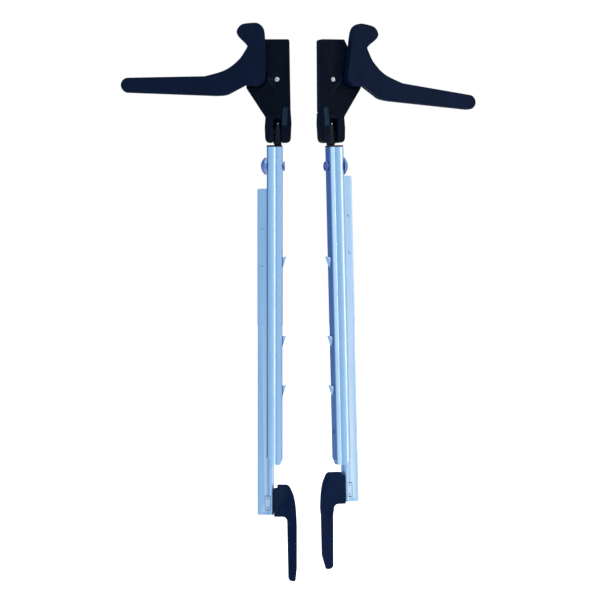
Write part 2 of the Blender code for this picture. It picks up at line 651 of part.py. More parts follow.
def build_slide(unit):
    top = SLIDE_BOTTOM + SLIDE_LENGTH
    mesh = folded_section("slide_channel", slide_section(), SLIDE_BOTTOM, top)
    slide = unit.piece("slide_channel", mesh, unit.slide, "galvanised_steel")
    thicken(slide, SLIDE_WALL)
    window = box_mesh("window", (WINDOW_X[0], -0.02, WINDOW_Z[0]), (WINDOW_X[1], -0.0060, WINDOW_Z[1]))
    unit.boolean(slide, window)
    low = (-0.0040, TENON_Y[0] - GAP, TENON_Z[0] - GAP)
    unit.boolean(slide, box_mesh("tenon_hole", low, (0.001, TENON_Y[1] + GAP, TENON_Z[1] + GAP)))
    arm_z = catch_arm_z()
    low, high = (-0.0040, -0.0088, arm_z[0] - ARM_CLEARANCE), (0.001, -0.0062, arm_z[1] + ARM_CLEARANCE)
    unit.boolean(slide, box_mesh("arm_slot", low, high))
    for i, drop in enumerate(RIVET_DROPS, 1):
        z = top - drop
        hole = rod_mesh(f"rivet_hole_{i}", (RIVET_X, -0.02, z), (RIVET_X, -0.006, z), RIVET_RADIUS + GAP, 16)
        unit.boolean(slide, hole)


def catch_arm_z():
    """The height of the catch's arm: level with the upper tab opening."""
    middle = TAB_BOTTOMS[0] + TAB_HEIGHT / 2
    return middle - ARM_HALF_HEIGHT, middle + ARM_HALF_HEIGHT


def build_catch(unit):
    """A flat spring riveted inside the slide, with an arm that reaches the rail's inner wall."""
    top = SLIDE_BOTTOM + SLIDE_LENGTH
    front = PLATE_FRONT_Y + SLIDE_WALL + GAP
    back = front + CATCH_THICKNESS
    arm_low, arm_high = catch_arm_z()
    left, right = RIVET_X - CATCH_HALF_WIDTH, RIVET_X + CATCH_HALF_WIDTH
    reach = RAIL_HALF_WIDTH - RAIL_WALL - GAP
    outline = [
        (left, top - RIVET_DROPS[1] - 0.006),
        (right, top - RIVET_DROPS[1] - 0.006),
        (right, arm_low),
        (reach - 0.002, arm_low),
        (reach, arm_low + 0.002),
        (reach, arm_high),
        (right, arm_high),
        (right, top - RIVET_DROPS[0] + 0.006),
        (left, top - RIVET_DROPS[0] + 0.006),
    ]
    mesh = outline_mesh("catch_spring", outline, front, back)
    catch = unit.piece("catch_spring", mesh, unit.slide, "spring_steel")
    for i, drop in enumerate(RIVET_DROPS, 1):
        z = top - drop
        hole = rod_mesh(f"catch_hole_{i}", (RIVET_X, -0.02, z), (RIVET_X, -0.006, z), RIVET_RADIUS + GAP, 16)
        unit.boolean(catch, hole)
        build_rivet(unit, i, z, back)


def build_rivet(unit, number, z, leaf_back):
    """A rivet with a low head in front of the plate and a tail behind the catch spring."""
    name = f"catch_rivet_{number}"
    front = PLATE_FRONT_Y - GAP
    head = rod_mesh(name, (RIVET_X, front, z), (RIVET_X, front - 0.0005, z), 0.0018, 16, 0.0011)
    rivet = unit.piece(name, head, unit.slide, "zinc_bolt")
    shank_ends = (RIVET_X, front - 0.0002, z), (RIVET_X, leaf_back + GAP + 0.0002, z)
    unit.boolean(rivet, rod_mesh(f"rivet_shank_{number}", *shank_ends, RIVET_RADIUS, 16), "UNION")
    tail_ends = (RIVET_X, leaf_back + GAP, z), (RIVET_X, leaf_back + GAP + 0.0007, z)
    unit.boolean(rivet, rod_mesh(f"rivet_tail_{number}", *tail_ends, 0.0017, 16), "UNION")


def foot_outline():
    hub = [(-0.0006, -0.0256), (0.0029, -0.0256), (0.0029, -0.0220), (0.0135, -0.0220)]
    outer = smooth([(0.0171, -0.0253), (0.0212, -0.0350), (0.0234, -0.0480), (0.0245, -0.0670)], 2)
    tip = [(0.0245, -0.1135), (0.0232, -0.1262), (0.0218, -0.1280), (0.0172, -0.1276), (0.0150, -0.1240)]
    root = arc((0.0086, -0.0620), 0.0051, 0, 90, 4)
    return hub + outer + tip + root + [(-0.0006, -0.0569)]


def build_foot(unit):
    """The foot hook: a block beside the slide, a long leg, and a tenon that enters the slide."""
    mesh = outline_mesh("foot_hook", foot_outline(), FOOT_FRONT, FOOT_BACK)
    foot = unit.piece("foot_hook", mesh, unit.slide, "black_nylon")
    for name, low_y, high_y in (("leg_front_cut", -0.03, LEG_Y[0]), ("leg_back_cut", LEG_Y[1], 0.02)):
        unit.boolean(foot, box_mesh(name, (-0.01, low_y, -0.2), (0.04, high_y, LEG_TOP)))
    unit.boolean(foot, toe_wedge())
    rounded(foot, 0.0016, 2, 35)
    low, high = zip(TENON_X, TENON_Y, TENON_Z)
    unit.boolean(foot, box_mesh("tenon", low, high), "UNION")
    low, high = (WINDOW_X[0], -0.02, WINDOW_Z[0]), (WINDOW_X[1], CLIP_FLOOR_Y, WINDOW_Z[1])
    unit.boolean(foot, box_mesh("clip_pocket", low, high))


def toe_wedge():
    """The wedge of space behind the toe, whose front face slopes forward from TOE_TOP to TOE_END."""
    top, end = Vector(TOE_TOP), Vector(TOE_END)
    slope = (top - end).normalized()
    middle = (top + end) / 2
    half_thickness, half_length = 0.010, 0.020
    centre = middle + Vector((slope.y, -slope.x)) * half_thickness
    low = (-0.01, centre.x - half_thickness, centre.y - half_length)
    high = (0.04, centre.x + half_thickness, centre.y + half_length)
    return box_mesh("toe_wedge", low, high, Matrix.Rotation(-math.atan2(slope.x, slope.y), 4, "X"))


def build_foot_clip(unit):
    """The spring clip in the slide's window: a staple-shaped strip that keeps the foot's tenon in."""
    foot_y = CLIP_FLOOR_Y - 2 * GAP
    low, high = WINDOW_Z[0] + 2 * GAP, WINDOW_Z[1] - 3 * GAP
    section = [(foot_y, low), (CLIP_FRONT_Y, low), (CLIP_FRONT_Y, high), (foot_y, high)]
    ribbon = poly_curve("foot_clip", section, False, CLIP_HALF_WIDTH)
    turn = Matrix(((0, 0, 1, 0), (1, 0, 0, 0), (0, 1, 0, 0), (0, 0, 0, 1)))
    middle = Matrix.Translation((sum(WINDOW_X) / 2, 0, 0))
    clip = unit.piece("foot_clip", curve_to_mesh(ribbon, middle @ turn), unit.slide, "spring_steel")
    thicken(clip, CLIP_THICKNESS)


def build_unit(side, matrix, slide_offset, lever_angle, parts, cutters, looks):
    unit = Unit(side, matrix, slide_offset, lever_angle, parts, cutters, looks)
    build_rail(unit)
    build_anchor(unit)
    build_rod(unit)
    build_head(unit)
    build_head_cover(unit)
    build_hinge_pin(unit)
    build_head_pin(unit)
    build_detent_spring(unit)
    build_lever(unit)
    build_axle(unit)
    build_slide(unit)
    build_catch(unit)
    build_foot(unit)
    build_foot_clip(unit)


def main():
    clear_scene()
    parts = new_collection("ladder_stabilizer")
    cutters = new_collection("ladder_stabilizer_cutters", hidden=True)
    looks = {
        "galvanised_steel": material("galvanised_steel", STEEL, 0.35, 0.9),
        "black_nylon": material("black_nylon", BLACK, 0.45, 0.0),
        "black_rod": material("black_rod", BLACK, 0.35, 0.4),
        "zinc_bolt": material("zinc_bolt", STEEL, 0.30, 1.0),
        "bright_pin": material("bright_pin", BRIGHT, 0.22, 1.0),
        "spring_steel": material("spring_steel", STEEL, 0.28, 1.0),
    }
    left = Matrix.Translation((LEFT_X, 0, 0))
    right = (
        Matrix.Translation((RIGHT_X, 0, 0))
        @ Matrix.Rotation(RIGHT_TILT, 4, "Y")
        @ Matrix.Rotation(RIGHT_ROLL, 4, "Z")
        @ Matrix.Scale(-1, 4, (1, 0, 0))
    )
    build_unit("left", left, 0.0, 0.0, parts, cutters, looks)
    build_unit("right", right, RIGHT_SLIDE_OFFSET, RIGHT_LEVER_ANGLE, parts, cutters, looks)


main()
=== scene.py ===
"""Looks of the ladder stabilizer pair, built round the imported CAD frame.

Every detailed piece is modelled once, in the frame of one unit and in millimetres: +X toward the unit's inner
side, +Y to its back, +Z up along its rail. It is then placed on both units, mirrored for the right one.
"""

import json
import math

import bmesh
import bpy
from mathutils import Matrix, Vector

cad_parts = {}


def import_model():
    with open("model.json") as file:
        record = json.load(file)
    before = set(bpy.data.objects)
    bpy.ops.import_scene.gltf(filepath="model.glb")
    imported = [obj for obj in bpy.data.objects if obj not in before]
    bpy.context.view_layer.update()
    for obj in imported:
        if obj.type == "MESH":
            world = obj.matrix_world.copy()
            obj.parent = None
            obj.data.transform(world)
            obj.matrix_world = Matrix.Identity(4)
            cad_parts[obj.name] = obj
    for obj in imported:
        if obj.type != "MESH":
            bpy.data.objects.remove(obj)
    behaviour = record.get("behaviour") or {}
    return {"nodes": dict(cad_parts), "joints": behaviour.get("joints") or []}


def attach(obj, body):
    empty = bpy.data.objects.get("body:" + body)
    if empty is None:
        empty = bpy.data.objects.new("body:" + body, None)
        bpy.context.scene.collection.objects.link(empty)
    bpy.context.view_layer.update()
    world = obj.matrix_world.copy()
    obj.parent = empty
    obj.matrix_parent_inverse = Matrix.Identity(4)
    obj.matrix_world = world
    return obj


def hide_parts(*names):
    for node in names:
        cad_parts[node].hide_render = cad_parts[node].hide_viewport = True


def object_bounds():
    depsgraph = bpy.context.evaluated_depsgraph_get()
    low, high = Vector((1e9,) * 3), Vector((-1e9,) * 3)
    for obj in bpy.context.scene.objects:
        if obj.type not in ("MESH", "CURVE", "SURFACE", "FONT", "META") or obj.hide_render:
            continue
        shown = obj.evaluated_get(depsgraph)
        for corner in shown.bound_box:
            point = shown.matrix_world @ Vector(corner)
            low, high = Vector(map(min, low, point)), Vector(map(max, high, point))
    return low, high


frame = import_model()
cad_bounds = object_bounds()

MM = 0.001
SIDES = ("left", "right")
JOINTS = {joint["name"]: joint for joint in frame["joints"]}

# The unit's own frame, in millimetres.
MID_Y = -5.65
HINGE = (3.6, MID_Y, 366.0)
HUB = (-20.8, 426.8)
HEAD_PIN = (2.6, 424.1)
BOLT_Z = 329.0
BOLT_BORE = 3.2
WASHER_THICKNESS = 1.4

RAIL_LENGTH = 350.0
RAIL_HALF = 8.75
RAIL_DEPTH = 13.0
RAIL_WALL = 1.6
BEAD_CENTRE = (-3.4, -9.16)
BEAD_MIDDLE_RADIUS = 5.04
TAB_BOTTOMS = (217.0, 130.0, 75.5)
TAB_HEIGHT = 12.5
TAB_Y = (-10.0, -3.5)

SLIDE_BOTTOM = -55.0
SLIDE_TOP = 304.0
SLIDE_WALL = 1.5
RIVET_X = -14.0
RIVET_DROPS = (43.8, 84.4)
# The window's x limits, then its z limits.
WINDOW = (-10.8, -4.5, -49.7, -33.8)
TENON = ((-15.5, -8.0, -53.5), (5.0, -4.0, -26.2))
CLIP_X = (-10.45, -4.85)
CLIP_FRONT = -9.7
CLIP_WALL = 0.5

BLOCK_TOP = 351.8
HEAD_FRONT = -14.0
FACET_RADIUS = 7.0
FACET_AXIS_Y = HEAD_FRONT - FACET_RADIUS + 0.55
FACET_X = (11.0, 12.2)
FACET_Z = (373.2, 393.4)
COVER_FRONT = -2.8
COVER_BOTTOM = 388.0
HINGE_BORE = 2.5
AXLE_BORE = 2.8
SCREW_PLACES = ((-6.0, 456.0), (12.5, 448.0), (13.0, 394.5))
LEVER_Y = (-26.2, -15.7)
GAP = 0.3


# ---------------------------------------------------------------- outlines

def arc(centre, radius, start, end, steps):
    """Points on a circle about centre, from start to end degrees."""
    angles = [math.radians(start + (end - start) * i / steps) for i in range(steps + 1)]
    return [(centre[0] + radius * math.cos(a), centre[1] + radius * math.sin(a)) for a in angles]


def smooth(points, steps):
    """A Catmull-Rom curve through the points, with steps spans between each pair."""
    made = [tuple(points[0])]
    for i in range(len(points) - 1):
        before = Vector(points[max(i - 1, 0)])
        first, second = Vector(points[i]), Vector(points[i + 1])
        after = Vector(points[min(i + 2, len(points) - 1)])
        near, far = (second - before) * 0.5, (after - first) * 0.5
        for step in range(1, steps + 1):
            t = step / steps
            cubic = 2 * first - 2 * second + near + far
            square = 3 * second - 3 * first - 2 * near - far
            made.append(tuple(cubic * t**3 + square * t**2 + near * t + first))
    return made


def fillet(corners, steps=5):
    """A closed outline from (x, y, radius) corners, each rounded to its own radius."""
    made = []
    count = len(corners)
    for i, (x, y, radius) in enumerate(corners):
        here = Vector((x, y))
        before = Vector(corners[i - 1][:2]) - here
        after = Vector(corners[(i + 1) % count][:2]) - here
        if radius <= 0:
            made.append((x, y))
            continue
        half = before.angle(after) / 2
        reach = min(radius / math.tan(half), before.length * 0.49, after.length * 0.49)
        first, last = here + before.normalized() * reach, here + after.normalized() * reach
        for step in range(steps + 1):
            t = step / steps
            made.append(tuple(first * (1 - t) ** 2 + here * 2 * t * (1 - t) + last * t**2))
    return made


# ---------------------------------------------------------------- solids

def mesh_of(shape, name="shape"):
    bmesh.ops.recalc_face_normals(shape, faces=shape.faces)
    mesh = bpy.data.meshes.new(name)
    shape.to_mesh(mesh)
    shape.free()
    return mesh


def prism(corners, shift):
    """A solid swept from the flat face with these corners, straight along shift."""
    shape = bmesh.new()
    face = shape.faces.new([shape.verts.new(corner) for corner in corners])
    grown = bmesh.ops.extrude_face_region(shape, geom=[face])
    moved = [item for item in grown["geom"] if isinstance(item, bmesh.types.BMVert)]
    bmesh.ops.translate(shape, vec=shift, verts=moved)
    return mesh_of(shape)


def slab(points, front, back):
    """A solid whose (x, z) outline fills y from front to back."""
    return prism([(x, front, z) for x, z in points], (0, back - front, 0))


def flat_slab(points, low, high):
    """A solid whose (x, y) outline fills z from low to high."""
    return prism([(x, y, low) for x, y in points], (0, 0, high - low))


def side_slab(points, low, high):
    """A solid whose (y, z) outline fills x from low to high."""
    return prism([(low, y, z) for y, z in points], (high - low, 0, 0))


def box(low, high, turn=None):
    shape = bmesh.new()
    bmesh.ops.create_cube(shape, size=1.0)
    size = [b - a for a, b in zip(low, high)]
    centre = [(a + b) / 2 for a, b in zip(low, high)]
    matrix = Matrix.Translation(centre) @ (turn or Matrix.Identity(4)) @ Matrix.Diagonal((*size, 1.0))
    bmesh.ops.transform(shape, matrix=matrix, verts=shape.verts)
    return mesh_of(shape)


def turned(profile, origin, along, sides=40):
    """A closed turned solid. The profile's (radius, height) points run from axis to axis, or round a ring."""
    shape = bmesh.new()
    rings = []
    for radius, height in profile:
        if rings and (radius, height) == profile[0]:
            rings.append(rings[0])
            continue
        if radius < 1e-6:
            rings.append([shape.verts.new((0, 0, height))])
            continue
        angles = [2 * math.pi * i / sides for i in range(sides)]
        rings.append([shape.verts.new((radius * math.cos(a), radius * math.sin(a), height)) for a in angles])
    for low, high in zip(rings, rings[1:]):
        for i in range(sides):
            j = (i + 1) % sides
            ring = [low[i % len(low)], low[j % len(low)], high[j % len(high)], high[i % len(high)]]
            corners = list(dict.fromkeys(ring))
            if len(corners) > 2:
                shape.faces.new(corners)
    turn = Vector(along).to_track_quat("Z", "Y").to_matrix().to_4x4()
    bmesh.ops.transform(shape, matrix=Matrix.Translation(origin) @ turn, verts=shape.verts)
    return mesh_of(shape)


def bar(start, end, radius, flare=0.0, sides=32):
    """A round bar between two points. With flare, its first end widens, to leave a chamfered rim."""
    start, end = Vector(start), Vector(end)
    length = (end - start).length
    profile = [(0, 0), (radius + flare, 0)]
    if flare:
        profile.append((radius + flare, abs(flare)))
        profile.append((radius, 2 * abs(flare)))
    profile += [(radius, length), (0, length)]
    return turned(profile, start, end - start, sides)


def strip(edges, wall):
    """A folded strip between two matching edge lines, given its wall."""
    shape = bmesh.new()
    first, second = [[shape.verts.new(point) for point in edge] for edge in edges]
    for i in range(len(first) - 1):
        shape.faces.new((first[i], first[i + 1], second[i + 1], second[i]))
    made = thing(mesh_of(shape))
    solid = made.modifiers.new("Wall", "SOLIDIFY")
    solid.thickness = wall
    solid.offset = 0.0
    solid.use_even_offset = True
    return baked(made)


def ribbon(section, low, high, wall):
    """A folded strip whose (x, y) middle line runs straight from low to high."""
    return strip([[(x, y, z) for x, y in section] for z in (low, high)], wall)


def thing(mesh):
    made = bpy.data.objects.new("work", mesh)
    bpy.context.scene.collection.objects.link(made)
    return made


def baked(obj):
    """The object's evaluated mesh. The object is removed."""
    bpy.context.view_layer.update()
    graph = bpy.context.evaluated_depsgraph_get()
    mesh = bpy.data.meshes.new_from_object(obj.evaluated_get(graph))
    bpy.data.objects.remove(obj, do_unlink=True)
    return mesh


def edged(mesh, width, segments=3, angle=40):
    """The mesh with its sharp edges rounded."""
    made = thing(mesh)
    bevel = made.modifiers.new("Rounded", "BEVEL")
    bevel.width = width
    bevel.segments = segments
    bevel.limit_method = "ANGLE"
    bevel.angle_limit = math.radians(angle)
    bevel.harden_normals = False
    return baked(made)


def combined(mesh, tools, operation):
    """The mesh cut by, joined with or kept inside all the tools, in one pass."""
    made = thing(mesh)
    group = bpy.data.collections.new("tools")
    bpy.context.scene.collection.children.link(group)
    helpers = [bpy.data.objects.new("tool", tool) for tool in tools]
    for helper in helpers:
        group.objects.link(helper)
    change = made.modifiers.new("Change", "BOOLEAN")
    change.operation = operation
    change.operand_type = "COLLECTION"
    change.collection = group
    result = baked(made)
    for helper in helpers:
        bpy.data.objects.remove(helper, do_unlink=True)
    bpy.data.collections.remove(group)
    return result


def cut(mesh, *tools):
    return combined(mesh, tools, "DIFFERENCE")


def joined(mesh, *tools):
    return combined(mesh, tools, "UNION")


# ---------------------------------------------------------------- materials

def new_material(name, colour, roughness, metallic=0.0, specular=0.5):
    made = bpy.data.materials.new(name)
    made.use_nodes = True
    shader = made.node_tree.nodes["Principled BSDF"]
    shader.inputs["Base Color"].default_value = (*colour, 1.0)
    shader.inputs["Roughness"].default_value = roughness
    shader.inputs["Metallic"].default_value = metallic
    shader.inputs["Specular IOR Level"].default_value = specular
    return made, shader


class Surface:
    """Builds a material's procedural detail on its Principled shader."""

    def __init__(self, name, colour, roughness, metallic=0.0, specular=0.5):
        self.material, self.shader = new_material(name, colour, roughness, metallic, specular)
        self.nodes = self.material.node_tree.nodes
        self.links = self.material.node_tree.links
        self.place = self.nodes.new("ShaderNodeTexCoord").outputs["Object"]
        self.colour = colour

    def noise(self, scale, detail=4.0, stretch=(1, 1, 1), rough=0.55):
        mapping = self.nodes.new("ShaderNodeMapping")
        mapping.inputs["Scale"].default_value = stretch
        self.links.new(self.place, mapping.inputs["Vector"])
        noise = self.nodes.new("ShaderNodeTexNoise")
        noise.inputs["Scale"].default_value = scale
        noise.inputs["Detail"].default_value = detail
        noise.inputs["Roughness"].default_value = rough
        self.links.new(mapping.outputs["Vector"], noise.inputs["Vector"])
        return noise.outputs["Fac"]

    def spread(self, value, low, high, start=0.35, end=0.65):
        """The value from start to end, spread to run from low to high."""
        node = self.nodes.new("ShaderNodeMapRange")
        node.inputs["From Min"].default_value = start
        node.inputs["From Max"].default_value = end
        node.inputs["To Min"].default_value = low
        node.inputs["To Max"].default_value = high
        self.links.new(value, node.inputs["Value"])
        return node.outputs["Result"]

    def worn_edges(self, low, high):
        """High on convex edges, where handling has rubbed the surface."""
        geometry = self.nodes.new("ShaderNodeNewGeometry")
        return self.spread(geometry.outputs["Pointiness"], 0.0, 1.0, low, high)

    def painted_crease_shade(self, low, high):
        """High in concave corners, for painted shade in the creases."""
        geometry = self.nodes.new("ShaderNodeNewGeometry")
        return self.spread(geometry.outputs["Pointiness"], 1.0, 0.0, low, high)

    def off_middle(self):
        """Distance in metres from the plane x = 0 of the unit's frame."""
        parts = self.nodes.new("ShaderNodeSeparateXYZ")
        self.links.new(self.place, parts.inputs["Vector"])
        size = self.nodes.new("ShaderNodeMath")
        size.operation = "ABSOLUTE"
        self.links.new(parts.outputs["X"], size.inputs[0])
        return size.outputs["Value"]

    def product(self, first, second):
        node = self.nodes.new("ShaderNodeMath")
        node.operation = "MULTIPLY"
        self.links.new(first, node.inputs[0])
        self.links.new(second, node.inputs[1])
        return node.outputs["Value"]

    def tint(self, value, other):
        """Lays one more colour over what the base colour already shows, as far as the value says.

        The mix node's colour sockets are inputs 6 and 7 and output 2.
        """
        socket = self.shader.inputs["Base Color"]
        mix = self.nodes.new("ShaderNodeMix")
        mix.data_type = "RGBA"
        if socket.is_linked:
            self.links.new(socket.links[0].from_socket, mix.inputs[6])
        else:
            mix.inputs[6].default_value = (*self.colour, 1.0)
        mix.inputs[7].default_value = (*other, 1.0)
        self.links.new(value, mix.inputs[0])
        self.links.new(mix.outputs[2], socket)

    def rough(self, value):
        self.links.new(value, self.shader.inputs["Roughness"])

    def bump(self, value, distance, strength=1.0):
        node = self.nodes.new("ShaderNodeBump")
        node.inputs["Distance"].default_value = distance
        node.inputs["Strength"].default_value = strength
        self.links.new(value, node.inputs["Height"])
        socket = self.shader.inputs["Normal"]
        if socket.is_linked:
            self.links.new(socket.links[0].from_socket, node.inputs["Normal"])
        self.links.new(node.outputs["Normal"], socket)


def moulded_nylon(name, colour, roughness):
    """Black glass-filled nylon: fine spark-eroded grain, faint cloudy flow marks and paler rubbed edges."""
    made = Surface(name, colour, roughness, specular=0.045)
    flow = made.noise(38, 3, (1, 1, 0.5))
    made.tint(made.spread(flow, 0.0, 0.6), tuple(c * 1.7 for c in colour))
    dust = made.noise(520, 3)
    made.tint(made.spread(dust, 0.0, 0.25, 0.62, 0.80), (0.012, 0.019, 0.040))
    scuff = made.product(made.worn_edges(0.515, 0.60), made.spread(made.noise(160, 5), 0.1, 1.0))
    made.tint(scuff, (0.012, 0.020, 0.045))
    made.rough(made.spread(made.noise(120, 4), roughness - 0.06, roughness + 0.08))
    made.bump(made.noise(2600, 2), 0.00003)
    made.bump(made.noise(700, 3), 0.00002)
    return made.material


def drawn_steel(name, colour, pale, dark, roughness, metallic, painted_side_shade=None):
    """Zinc-coated strip: lengthwise drawing lines, a soft spangle, handling marks, brighter edges and painted
    shade in the creases.

    The last argument, if given, is painted shade: the outermost sides of the section take that darker, bluer
    colour, where they stand in shade.
    """
    made = Surface(name, colour, roughness, metallic)
    lines = made.noise(900, 5, (1, 1, 0.012), 0.7)
    spangle = made.noise(70, 3, (1, 1, 0.45))
    blotch = made.noise(16, 2, (1, 1, 0.35))
    made.tint(made.spread(lines, 0.0, 0.35), pale)
    made.tint(made.spread(spangle, 0.0, 0.30, 0.45, 0.70), dark)
    made.tint(made.spread(blotch, 0.0, 0.25, 0.45, 0.65), pale)
    made.tint(made.worn_edges(0.54, 0.66), (0.62, 0.76, 0.92))
    pits = made.noise(420, 2)
    made.tint(made.spread(pits, 0.0, 0.4, 0.70, 0.78), tuple(c * 0.6 for c in colour))
    # Painted shade: a dark blue in the concave creases, where shade falls.
    made.tint(made.painted_crease_shade(0.40, 0.49), (0.12, 0.20, 0.32))
    # Painted shade: a darker, bluer band on the outermost sides of the rail's section, standing in for the
    # shade they fall in.
    if painted_side_shade:
        from_edge = made.spread(made.off_middle(), 0.0, 0.85, 0.0072, 0.0078)
        to_tab = made.spread(made.off_middle(), 1.0, 0.0, 0.0093, 0.0096)
        made.tint(made.product(from_edge, to_tab), painted_side_shade)
    made.rough(made.spread(made.noise(240, 4, (1, 1, 0.05)), roughness - 0.06, roughness + 0.08))
    made.bump(lines, 0.000012)
    made.bump(made.noise(45, 3, (1, 1, 0.3)), 0.00008, 0.4)
    return made.material


def plated(name, colour, roughness):
    """Blue-passivated zinc on a fastener: cloudy tint, fine turning marks and rubbed edges."""
    made = Surface(name, colour, roughness, 0.85)
    made.tint(made.spread(made.noise(260, 4), 0.0, 0.5), tuple(min(1.0, c * 1.5) for c in colour))
    made.tint(made.spread(made.noise(1200, 2), 0.0, 0.4, 0.62, 0.75), tuple(c * 0.5 for c in colour))
    made.tint(made.worn_edges(0.53, 0.62), tuple(min(1.0, c * 1.9) for c in colour))
    made.rough(made.spread(made.noise(500, 4), roughness - 0.06, roughness + 0.12))
    made.bump(made.noise(1500, 3), 0.00002)
    return made.material


def blackened(name, colour, roughness):
    """Black oxide on steel, with bare metal showing through at the edges."""
    made = Surface(name, colour, roughness, 0.35, 0.12)
    made.tint(made.spread(made.noise(220, 4), 0.0, 0.5), tuple(c * 1.8 for c in colour))
    scuff = made.product(made.worn_edges(0.52, 0.60), made.spread(made.noise(420, 5), 0.0, 1.0))
    made.tint(scuff, (0.05, 0.06, 0.08))
    made.rough(made.spread(made.noise(300, 4), roughness - 0.08, roughness + 0.10))
    made.bump(made.noise(1800, 3), 0.00002)
    return made.material


def make_looks():
    return {
        # The rail's last colour is painted shade for the outermost sides of its section.
        "rail": drawn_steel("rail_zinc", (0.42, 0.62, 0.87), (0.50, 0.70, 0.93), (0.36, 0.56, 0.82),
                            0.32, 0.84, (0.075, 0.16, 0.42)),
        "slide": drawn_steel("slide_zinc", (0.36, 0.55, 0.81), (0.43, 0.62, 0.87), (0.31, 0.50, 0.76),
                             0.36, 0.82),
        "head": moulded_nylon("head_nylon", (0.0008, 0.0030, 0.0085), 0.50),
        "cover": moulded_nylon("cover_nylon", (0.0010, 0.0032, 0.0085), 0.54),
        "lever": moulded_nylon("lever_nylon", (0.0028, 0.0072, 0.0240), 0.52),
        "foot": moulded_nylon("foot_nylon", (0.0026, 0.0088, 0.0350), 0.54),
        "block": moulded_nylon("anchor_nylon", (0.0020, 0.0040, 0.0090), 0.50),
        # A paler nylon for the facet hollow: painted sheen, standing in for the light the facet catches.
        "painted_sheen": moulded_nylon("painted_sheen_nylon", (0.0100, 0.0230, 0.0420), 0.40),
        "bolt": plated("bolt_zinc", (0.19, 0.29, 0.55), 0.40),
        "nut": plated("nut_zinc", (0.08, 0.13, 0.28), 0.30),
        "screw": plated("screw_zinc", (0.42, 0.45, 0.50), 0.33),
        "rivet": plated("rivet_zinc", (0.26, 0.38, 0.54), 0.50),
        "rod": blackened("rod_oxide", (0.0035, 0.0060, 0.0100), 0.42),
        "pin": plated("pin_bright", (0.42, 0.44, 0.48), 0.30),
        "spring": plated("spring_steel", (0.46, 0.52, 0.60), 0.30),
    }


# ---------------------------------------------------------------- units

class Unit:
    """One side of the pair, placed from the frame's joints."""

    def __init__(self, side):
        self.side = side
        self.hand = 1 if side == "left" else -1
        fold, turn, slide = (JOINTS[f"{side}_{name}"] for name in ("head_fold", "lever_turn", "slide_travel"))
        first = JOINTS["left_slide_travel"]["range_m"][1]
        self.lift = (first - slide["range_m"][1]) / MM
        self.lever_angle = turn["range_deg"][1] - JOINTS["left_lever_turn"]["range_deg"][1]
        inner = -self.hand * Vector(fold["axis"])
        back = -self.hand * Vector(turn["axis"])
        up = Vector(slide["axis"])
        across = Matrix((inner, back, up)).transposed()
        origin = Vector(fold["pos_m"]) - across @ (Vector(HINGE) * MM)
        rotation = Matrix((inner * self.hand, back, up)).transposed().to_4x4()
        self.matrix = Matrix.Translation(origin) @ rotation

    def add(self, name, mesh, look, body, slot, stands_for=None, move=None):
        """Places a copy of a piece modelled in millimetres, and makes it ride on a body."""
        copy = mesh.copy()
        copy.name = f"{self.side}_{name}"
        scale = Matrix.Diagonal((self.hand * MM, MM, MM, 1.0))
        copy.transform(scale @ (move or Matrix.Identity(4)))
        if self.hand < 0:
            copy.flip_normals()
        if not copy.materials:
            copy.materials.append(look)
        copy.shade_smooth()
        copy.set_sharp_from_angle(angle=math.radians(38))
        made = bpy.data.objects.new(f"{self.side}_{name}_piece", copy)
        bpy.context.scene.collection.objects.link(made)
        made.matrix_world = self.matrix
        made.modifiers.new("Even normals", "WEIGHTED_NORMAL").keep_sharp = True
        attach(made, f"{self.side}_{body}")
        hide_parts(f"{self.side}_{stands_for or name}")
        return made


# ---------------------------------------------------------------- rail group

def rail_section():
    """Middle line of the rail: back flange, inner wall, front strip, groove and round bead."""
    half = RAIL_WALL / 2
    wall, bend = RAIL_HALF - half, 1.4
    front = half - RAIL_DEPTH
    back_bend = arc((wall - bend, -half - bend), bend, 90, 0, 5)
    front_bend = arc((wall - bend, front + bend), bend, 0, -90, 5)
    groove = [(3.5, front), (2.9, front + 0.12), (2.35, front + 0.62), (1.95, front + 0.82),
              (1.45, front + 0.72)]
    bead = arc(BEAD_CENTRE, BEAD_MIDDLE_RADIUS, -36, -156, 22)
    return [(-RAIL_HALF, -half)] + back_bend + front_bend + groove + bead


def tab(bottom):
    """A lanced tab: a strip of the wall bent outward about its lower edge, open at the top."""
    inner, outer = RAIL_HALF - RAIL_WALL, RAIL_HALF
    top = bottom + TAB_HEIGHT
    outline = [(inner, bottom), (outer, bottom), (outer + 0.35, bottom + 0.9), (outer + 4.0, top - 0.6),
               (outer + 3.8, top - 0.15), (outer + 2.75, top), (inner + 0.9, bottom + 4.6),
               (inner, bottom + 3.0)]
    return edged(slab(outline, TAB_Y[0] + 0.4, TAB_Y[1] - 0.4), 0.18, 2)


def tab_cheeks(bottom):
    """The stretched metal that closes a tab's two sides, as on a louvre."""
    top = bottom + TAB_HEIGHT - 0.7
    outline = [(7.95, bottom + 1.5), (8.4, bottom + 1.8), (12.1, top), (7.95, top)]
    return [slab(outline, TAB_Y[0] - 0.3, TAB_Y[0] + 0.7), slab(outline, TAB_Y[1] - 0.7, TAB_Y[1] + 0.3)]


